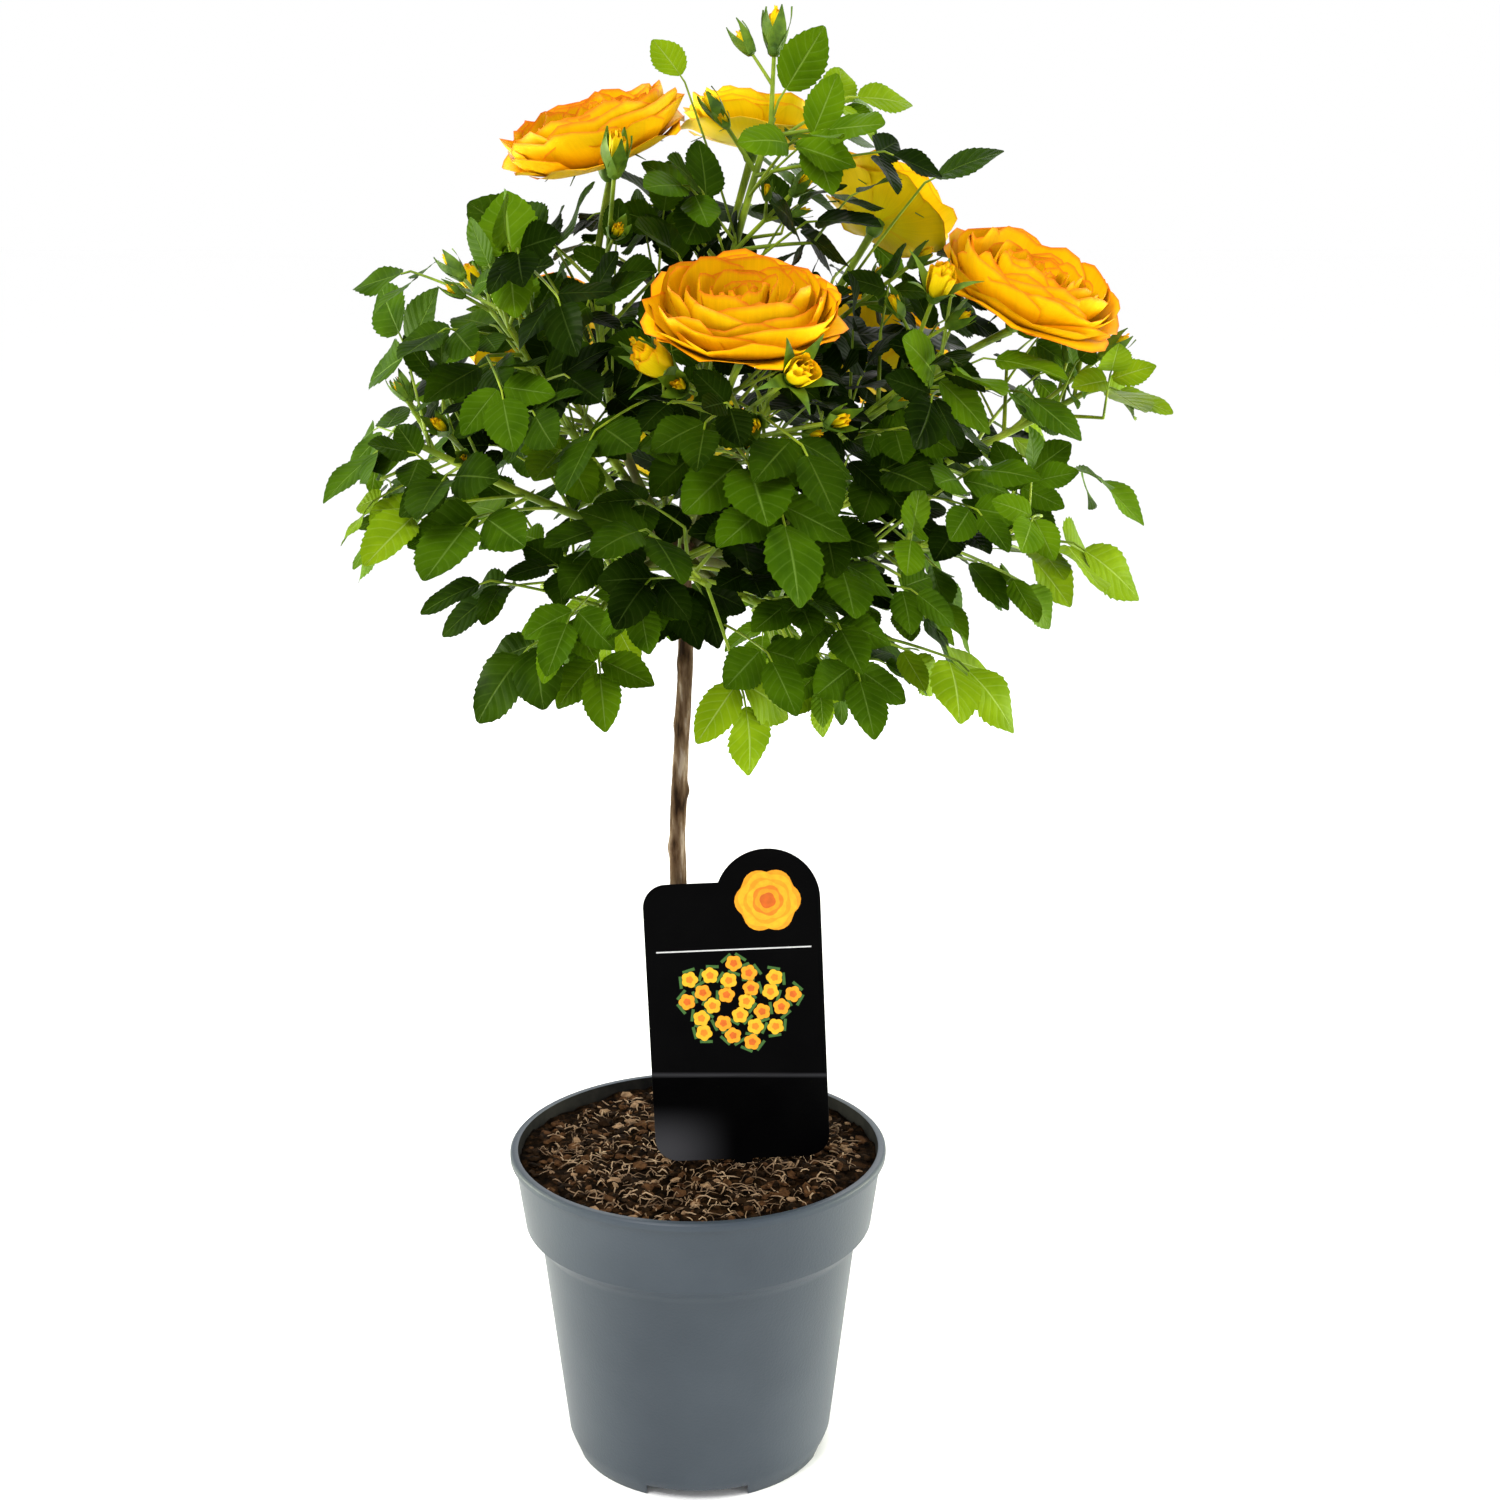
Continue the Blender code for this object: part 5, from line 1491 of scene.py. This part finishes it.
draw = random.Random(LEAF_SEED)
crowds = [bmesh.new() for _ in greens]
for leaf in leaves:
    crowd = crowds[shade_of(leaf, draw)]
    for index, (start, end) in enumerate(leaf.blades):
        start = start.lerp(end, SIDE_STALK if index else END_STALK)
        length = (end - start).length
        face = UPRIGHT_FACE if end.z > TOP_LEAVES else leaf.face
        to_front = 0 if leaf.fine else 4 * abs(end.x)
        face = (face + Vector((draw.uniform(-0.3, 0.3), draw.uniform(-0.3, 0.3) - to_front,
                               0))).normalized()
        place = frame_along(start, end, face) @ Matrix.Diagonal(
            (draw.uniform(0.80, 1.12) * length, length, length * draw.uniform(0.6, 1.3), 1))
        first = len(crowd.verts)
        crowd.from_mesh(draw.choice(leaflets))
        for vert in crowd.verts[first:]:
            vert.co = kept_in(place @ vert.co)
for mesh in leaflets:
    bpy.data.meshes.remove(mesh)
for (name, dark, light, rib), crowd in zip(greens, crowds):
    foliage = piece_of(f"leaves_{name}", crowd,
                       [leaf_finish(f"leaf_{name}", dark, light, rib)], 180)
    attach(foliage, "root")
    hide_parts(*["mass_" + shoot.name for shoot in SHOOTS])

# ------------------------------------------------------------------ blooms
# Full cup-shaped roses of thin silky petals, orange-yellow and lighter at the foot, with a
# thin orange-red rim. The outer petals open wide and roll back, and the inner ones stay wrapped
# round the heart. Each stands on a smooth green hip with five sepals.

PETAL_SIDES = (-1, -0.93, -0.72, -0.42, -0.14, 0.14, 0.42, 0.72, 0.93, 1)
PETAL_ROWS = (0, 0.16, 0.34, 0.52, 0.68, 0.80, 0.89, 0.95, 1)
PETAL_ROLL = 0.13
PETAL_SEED = 21
HIP_SIZE = (0.0030, 0.0030, 0.0042)
HIP_DROP = 0.0025

# The shoots whose blooms are a paler yellow.
LEMON = ("upper_right", "upper_back", "back")

# Rings of petals from the outside in: number, end (radius and height as shares of the bloom's),
# how far the petal bellies out below its end, half its spread (radians), and how it rolls back.
RINGS = (
    (5, 0.97, 0.30, 0.88, 0.80, 0.70),
    (5, 1.00, 0.48, 0.92, 0.88, 0.40),
    (5, 0.95, 0.58, 1.02, 0.88, 0.22),
    (5, 0.86, 0.64, 1.09, 0.88, 0.14),
    (5, 0.75, 0.67, 1.13, 0.88, 0.10),
    (5, 0.62, 0.67, 1.17, 0.90, 0.06),
    (5, 0.49, 0.66, 1.21, 0.92, 0.04),
    (4, 0.36, 0.65, 1.25, 1.10, 0.02),
    (4, 0.24, 0.64, 1.30, 1.20, 0.00),
    (3, 0.13, 0.63, 1.40, 1.45, 0.00),
)


def between(first, last, share):
    """A value part of the way from first to last."""
    return first + (last - first) * share


def sheet(shape, place, sides, rows, spot, tone=0):
    """Adds a grid to a bmesh, bent through the points of spot(side, share), with its map."""
    sheet_map = shape.loops.layers.uv.verify()
    columns, steps = len(sides) - 1, len(rows) - 1
    flat = bmesh.ops.create_grid(shape, x_segments=columns, y_segments=steps, size=1)["verts"]
    for vert in flat:
        side = sides[round((vert.co.x + 1) / 2 * columns)]
        share = rows[round((vert.co.y + 1) / 2 * steps)]
        vert.co = place @ spot(side, share)
        for loop in vert.link_loops:
            loop[sheet_map].uv = ((side + 1) / 2, share)
            loop.face.material_index = tone


def petal(flower, place, end, belly, spread, roll, turn, draw, tone):
    """One petal, from the hip out and up to its end (radius, height)."""
    size = math.hypot(*end)
    control = (end[0] * belly, end[1] * (0.02 + 0.34 * max(belly - 0.74, 0)))
    phase, ruffle = draw.uniform(0, 6.3), draw.uniform(0.030, 0.075) * size
    folds = draw.uniform(2.6, 5.2)
    overlap, dent = draw.uniform(0.03, 0.07) * end[0], draw.uniform(0.0, 0.05) * size

    def spot(side, share):
        run = share * (1 - 0.14 * abs(side) ** 4.5)
        back = 1 - run
        radius = 0.07 * end[0] * back ** 2 + 2 * control[0] * run * back + end[0] * run ** 2
        height = 2 * control[1] * run * back + end[1] * run ** 2
        droop = max(run - 0.70, 0) / 0.30
        radius += roll * PETAL_ROLL * size * droop ** 1.6
        height -= roll * PETAL_ROLL * size * droop ** 2.4
        radius += overlap * side * run + ruffle * math.sin(folds * side + phase) * run ** 2.5
        height += 0.8 * ruffle * math.sin(1.3 * folds * side + 2 * phase) * run ** 3
        height -= dent * math.exp(-(side / 0.22) ** 2) * share ** 5
        angle = turn + side * spread * (0.86 + 0.14 * math.sin(math.pi * run))
        return Vector((radius * math.cos(angle), radius * math.sin(angle), height))

    sheet(flower, place, PETAL_SIDES, PETAL_ROWS, spot, tone)


def petal_finish(name, foot, blade, rim):
    """Silky petal skin from foot to rim by the petal's own map, with fine lengthwise veins."""
    finish = bpy.data.materials.new(name)
    finish.use_nodes = True
    nodes, links = finish.node_tree.nodes, finish.node_tree.links
    shader = nodes["Principled BSDF"]
    shader.inputs["Roughness"].default_value = 0.5
    shader.inputs["Specular IOR Level"].default_value = 0.10
    shader.inputs["Specular Tint"].default_value = (1.0, 0.85, 0.40, 1)
    spot = spot_on(finish, "UV")
    edge = reckon(finish, "ABSOLUTE", reckon(finish, "SUBTRACT", spot["X"], 0.5))
    reach = reckon(finish, "MAXIMUM", spot["Y"], rising(finish, edge, 0.30, 0.50, 0.985))
    ramp = nodes.new("ShaderNodeValToRGB")
    stops = ramp.color_ramp.elements
    stops[0].position, stops[0].color = 0.10, (*foot, 1)
    stops[1].position, stops[1].color = 0.52, (*blade, 1)
    for along, share in ((0.95, 0.0), (0.98, 0.5), (1.0, 1.0)):
        stop = stops.new(along)
        stop.color = (*[between(inner, outer, share) for inner, outer in zip(blade, rim)], 1)
    links.new(reach, ramp.inputs["Fac"])
    veins = grain_of(finish, 1, 3, (34, 1.6, 1), "UV")
    tone = nodes.new("ShaderNodeMapRange")
    tone.inputs["To Min"].default_value = 0.84
    tone.inputs["To Max"].default_value = 1.10
    links.new(veins, tone.inputs["Value"])
    shaded = nodes.new("ShaderNodeVectorMath")
    shaded.operation = "SCALE"
    links.new(ramp.outputs["Color"], shaded.inputs["Vector"])
    links.new(tone.outputs["Result"], shaded.inputs["Scale"])
    links.new(shaded.outputs["Vector"], shader.inputs["Base Color"])
    raised(finish, veins, 0.00012, 0.5)
    return finish


draw = random.Random(PETAL_SEED)
petals = bmesh.new()
cups = bmesh.new()
for shoot in flowering:
    line = lines[shoot.name]
    radius = shoot.bloom * 0.001
    place = UP.rotation_difference(line.face).to_matrix().to_4x4()
    place.translation = line.end
    turn = draw.uniform(0, 6.3)
    for count, out, high, belly, spread, roll in RINGS:
        turn += math.pi / count + draw.uniform(-0.12, 0.12)
        for index in range(count):
            end = (radius * out * draw.uniform(0.94, 1.03),
                   radius * high * draw.uniform(0.84, 1.06))
            petal(petals, place, end, belly * draw.uniform(0.95, 1.05),
                  spread * draw.uniform(0.9, 1.1), roll * draw.uniform(0.5, 1.4),
                  turn + 2 * math.pi * index / count + draw.uniform(-0.12, 0.12), draw,
                  1 if shoot.name in LEMON else 0)
    hip = Matrix.Translation(line.end - line.face * HIP_DROP) @ upright_along(Vector(), line.face)
    bmesh.ops.create_uvsphere(cups, u_segments=12, v_segments=8, radius=1,
                              matrix=hip @ Matrix.Diagonal((*HIP_SIZE, 1)))

# ------------------------------------------------------------------ buds
# The large buds are half open, yellow flushed with orange, in five green sepals that spread
# and are drawn out into thin points. The small ones are still shut in their sepals.

SEPAL_SIDES = (-1, 0, 1)
SEPAL_ROWS = (0, 0.14, 0.30, 0.46, 0.62, 0.80, 1)
SEPALS = 5
BLOOM_SEPAL = (0.015, 0.0024)
BLOOM_SEPAL_SPREAD = 1.15
BLOOM_SEPAL_CURL = 0.55

# The shoots whose large buds are half open.
OPEN_BUDS = ("front", "right", "back", "back_left")


def sepal(cups, place, length, width, spread, turn, curl=0.0):
    """One pointed sepal, which hugs the bud at its foot and spreads by its tip."""
    def spot(side, share):
        half = width * (1.05 - share) ** 1.1 * (0.75 + 0.5 * math.sin(2.6 * share))
        radius = 0.34 * length * math.sin(math.pi * min(0.14 + 0.44 * share, 0.5)) \
            + spread * length * share ** 2.2
        height = length * share * (1 - 0.35 * spread * share) - curl * length * share ** 3
        angle = turn + side * half / max(radius, 0.0006)
        radius -= 0.04 * length * (1 - abs(side)) * share
        return Vector((radius * math.cos(angle), radius * math.sin(angle), height))

    sheet(cups, place, SEPAL_SIDES, SEPAL_ROWS, spot)


for shoot in flowering:
    line = lines[shoot.name]
    place = upright_along(line.end - line.face * 0.001, line.end)
    for index in range(SEPALS):
        sepal(cups, place, *BLOOM_SEPAL, BLOOM_SEPAL_SPREAD,
              2 * math.pi * index / SEPALS + 0.4, BLOOM_SEPAL_CURL)
for item in buds:
    length = (item.tip - item.neck).length
    place = upright_along(item.neck, item.tip)
    bmesh.ops.create_uvsphere(
        cups, u_segments=10, v_segments=6, radius=1,
        matrix=place @ Matrix.Translation((0, 0, 0.10 * length))
        @ Matrix.Diagonal((0.16 * length, 0.16 * length, 0.17 * length, 1)))
    is_open = item.large and item.shoot in OPEN_BUDS
    count = 9 if is_open else 5
    for index in range(count):
        share = index / (count - 1)
        end = (length * between(0.21, 0.04, share) * (1.15 if is_open else 0.70),
               length * between(0.80, 0.96, share))
        petal(petals, place, end, between(1.55, 1.9, share), between(1.0, 1.7, share),
              between(0.35, -0.1, share) if is_open else 0.0,
              GOLDEN_TURN * index + draw.uniform(-0.2, 0.2), draw, 1)
    spread = draw.uniform(0.20, 0.55) if is_open else draw.uniform(-0.10, 0.12)
    for index in range(SEPALS):
        sepal(cups, place, length * draw.uniform(0.86, 1.0 if item.large else 1.25),
              (0.18 if is_open else 0.27) * length, spread * draw.uniform(0.6, 1.4),
              2 * math.pi * index / SEPALS + draw.uniform(-0.2, 0.2), 0.1 if is_open else 0.0)

# The petals of the blooms and buds are one piece, and so are their hips and sepals.
for vert in cups.verts:
    vert.co = kept_in(vert.co)
petal_piece = piece_of("petals", petals, [
    petal_finish("petal_gold", (0.86, 0.63, 0.004), (0.86, 0.51, 0.002), (0.86, 0.22, 0.016)),
    petal_finish("petal_lemon", (0.84, 0.68, 0.004), (0.86, 0.60, 0.003),
                 (0.88, 0.34, 0.008))], 180)
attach(petal_piece, "root")
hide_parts(*["bloom_" + shoot.name for shoot in flowering])
cup_piece = piece_of("sepals", cups, [mottled(
    "sepal_green", [(0.028, 0.070, 0.003), (0.075, 0.150, 0.006), (0.130, 0.220, 0.012)],
    0.006, 0.5, 0.0007, 0.00008)], 180)
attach(cup_piece, "root")
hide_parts(*["mass_" + shoot.name for shoot in SHOOTS])
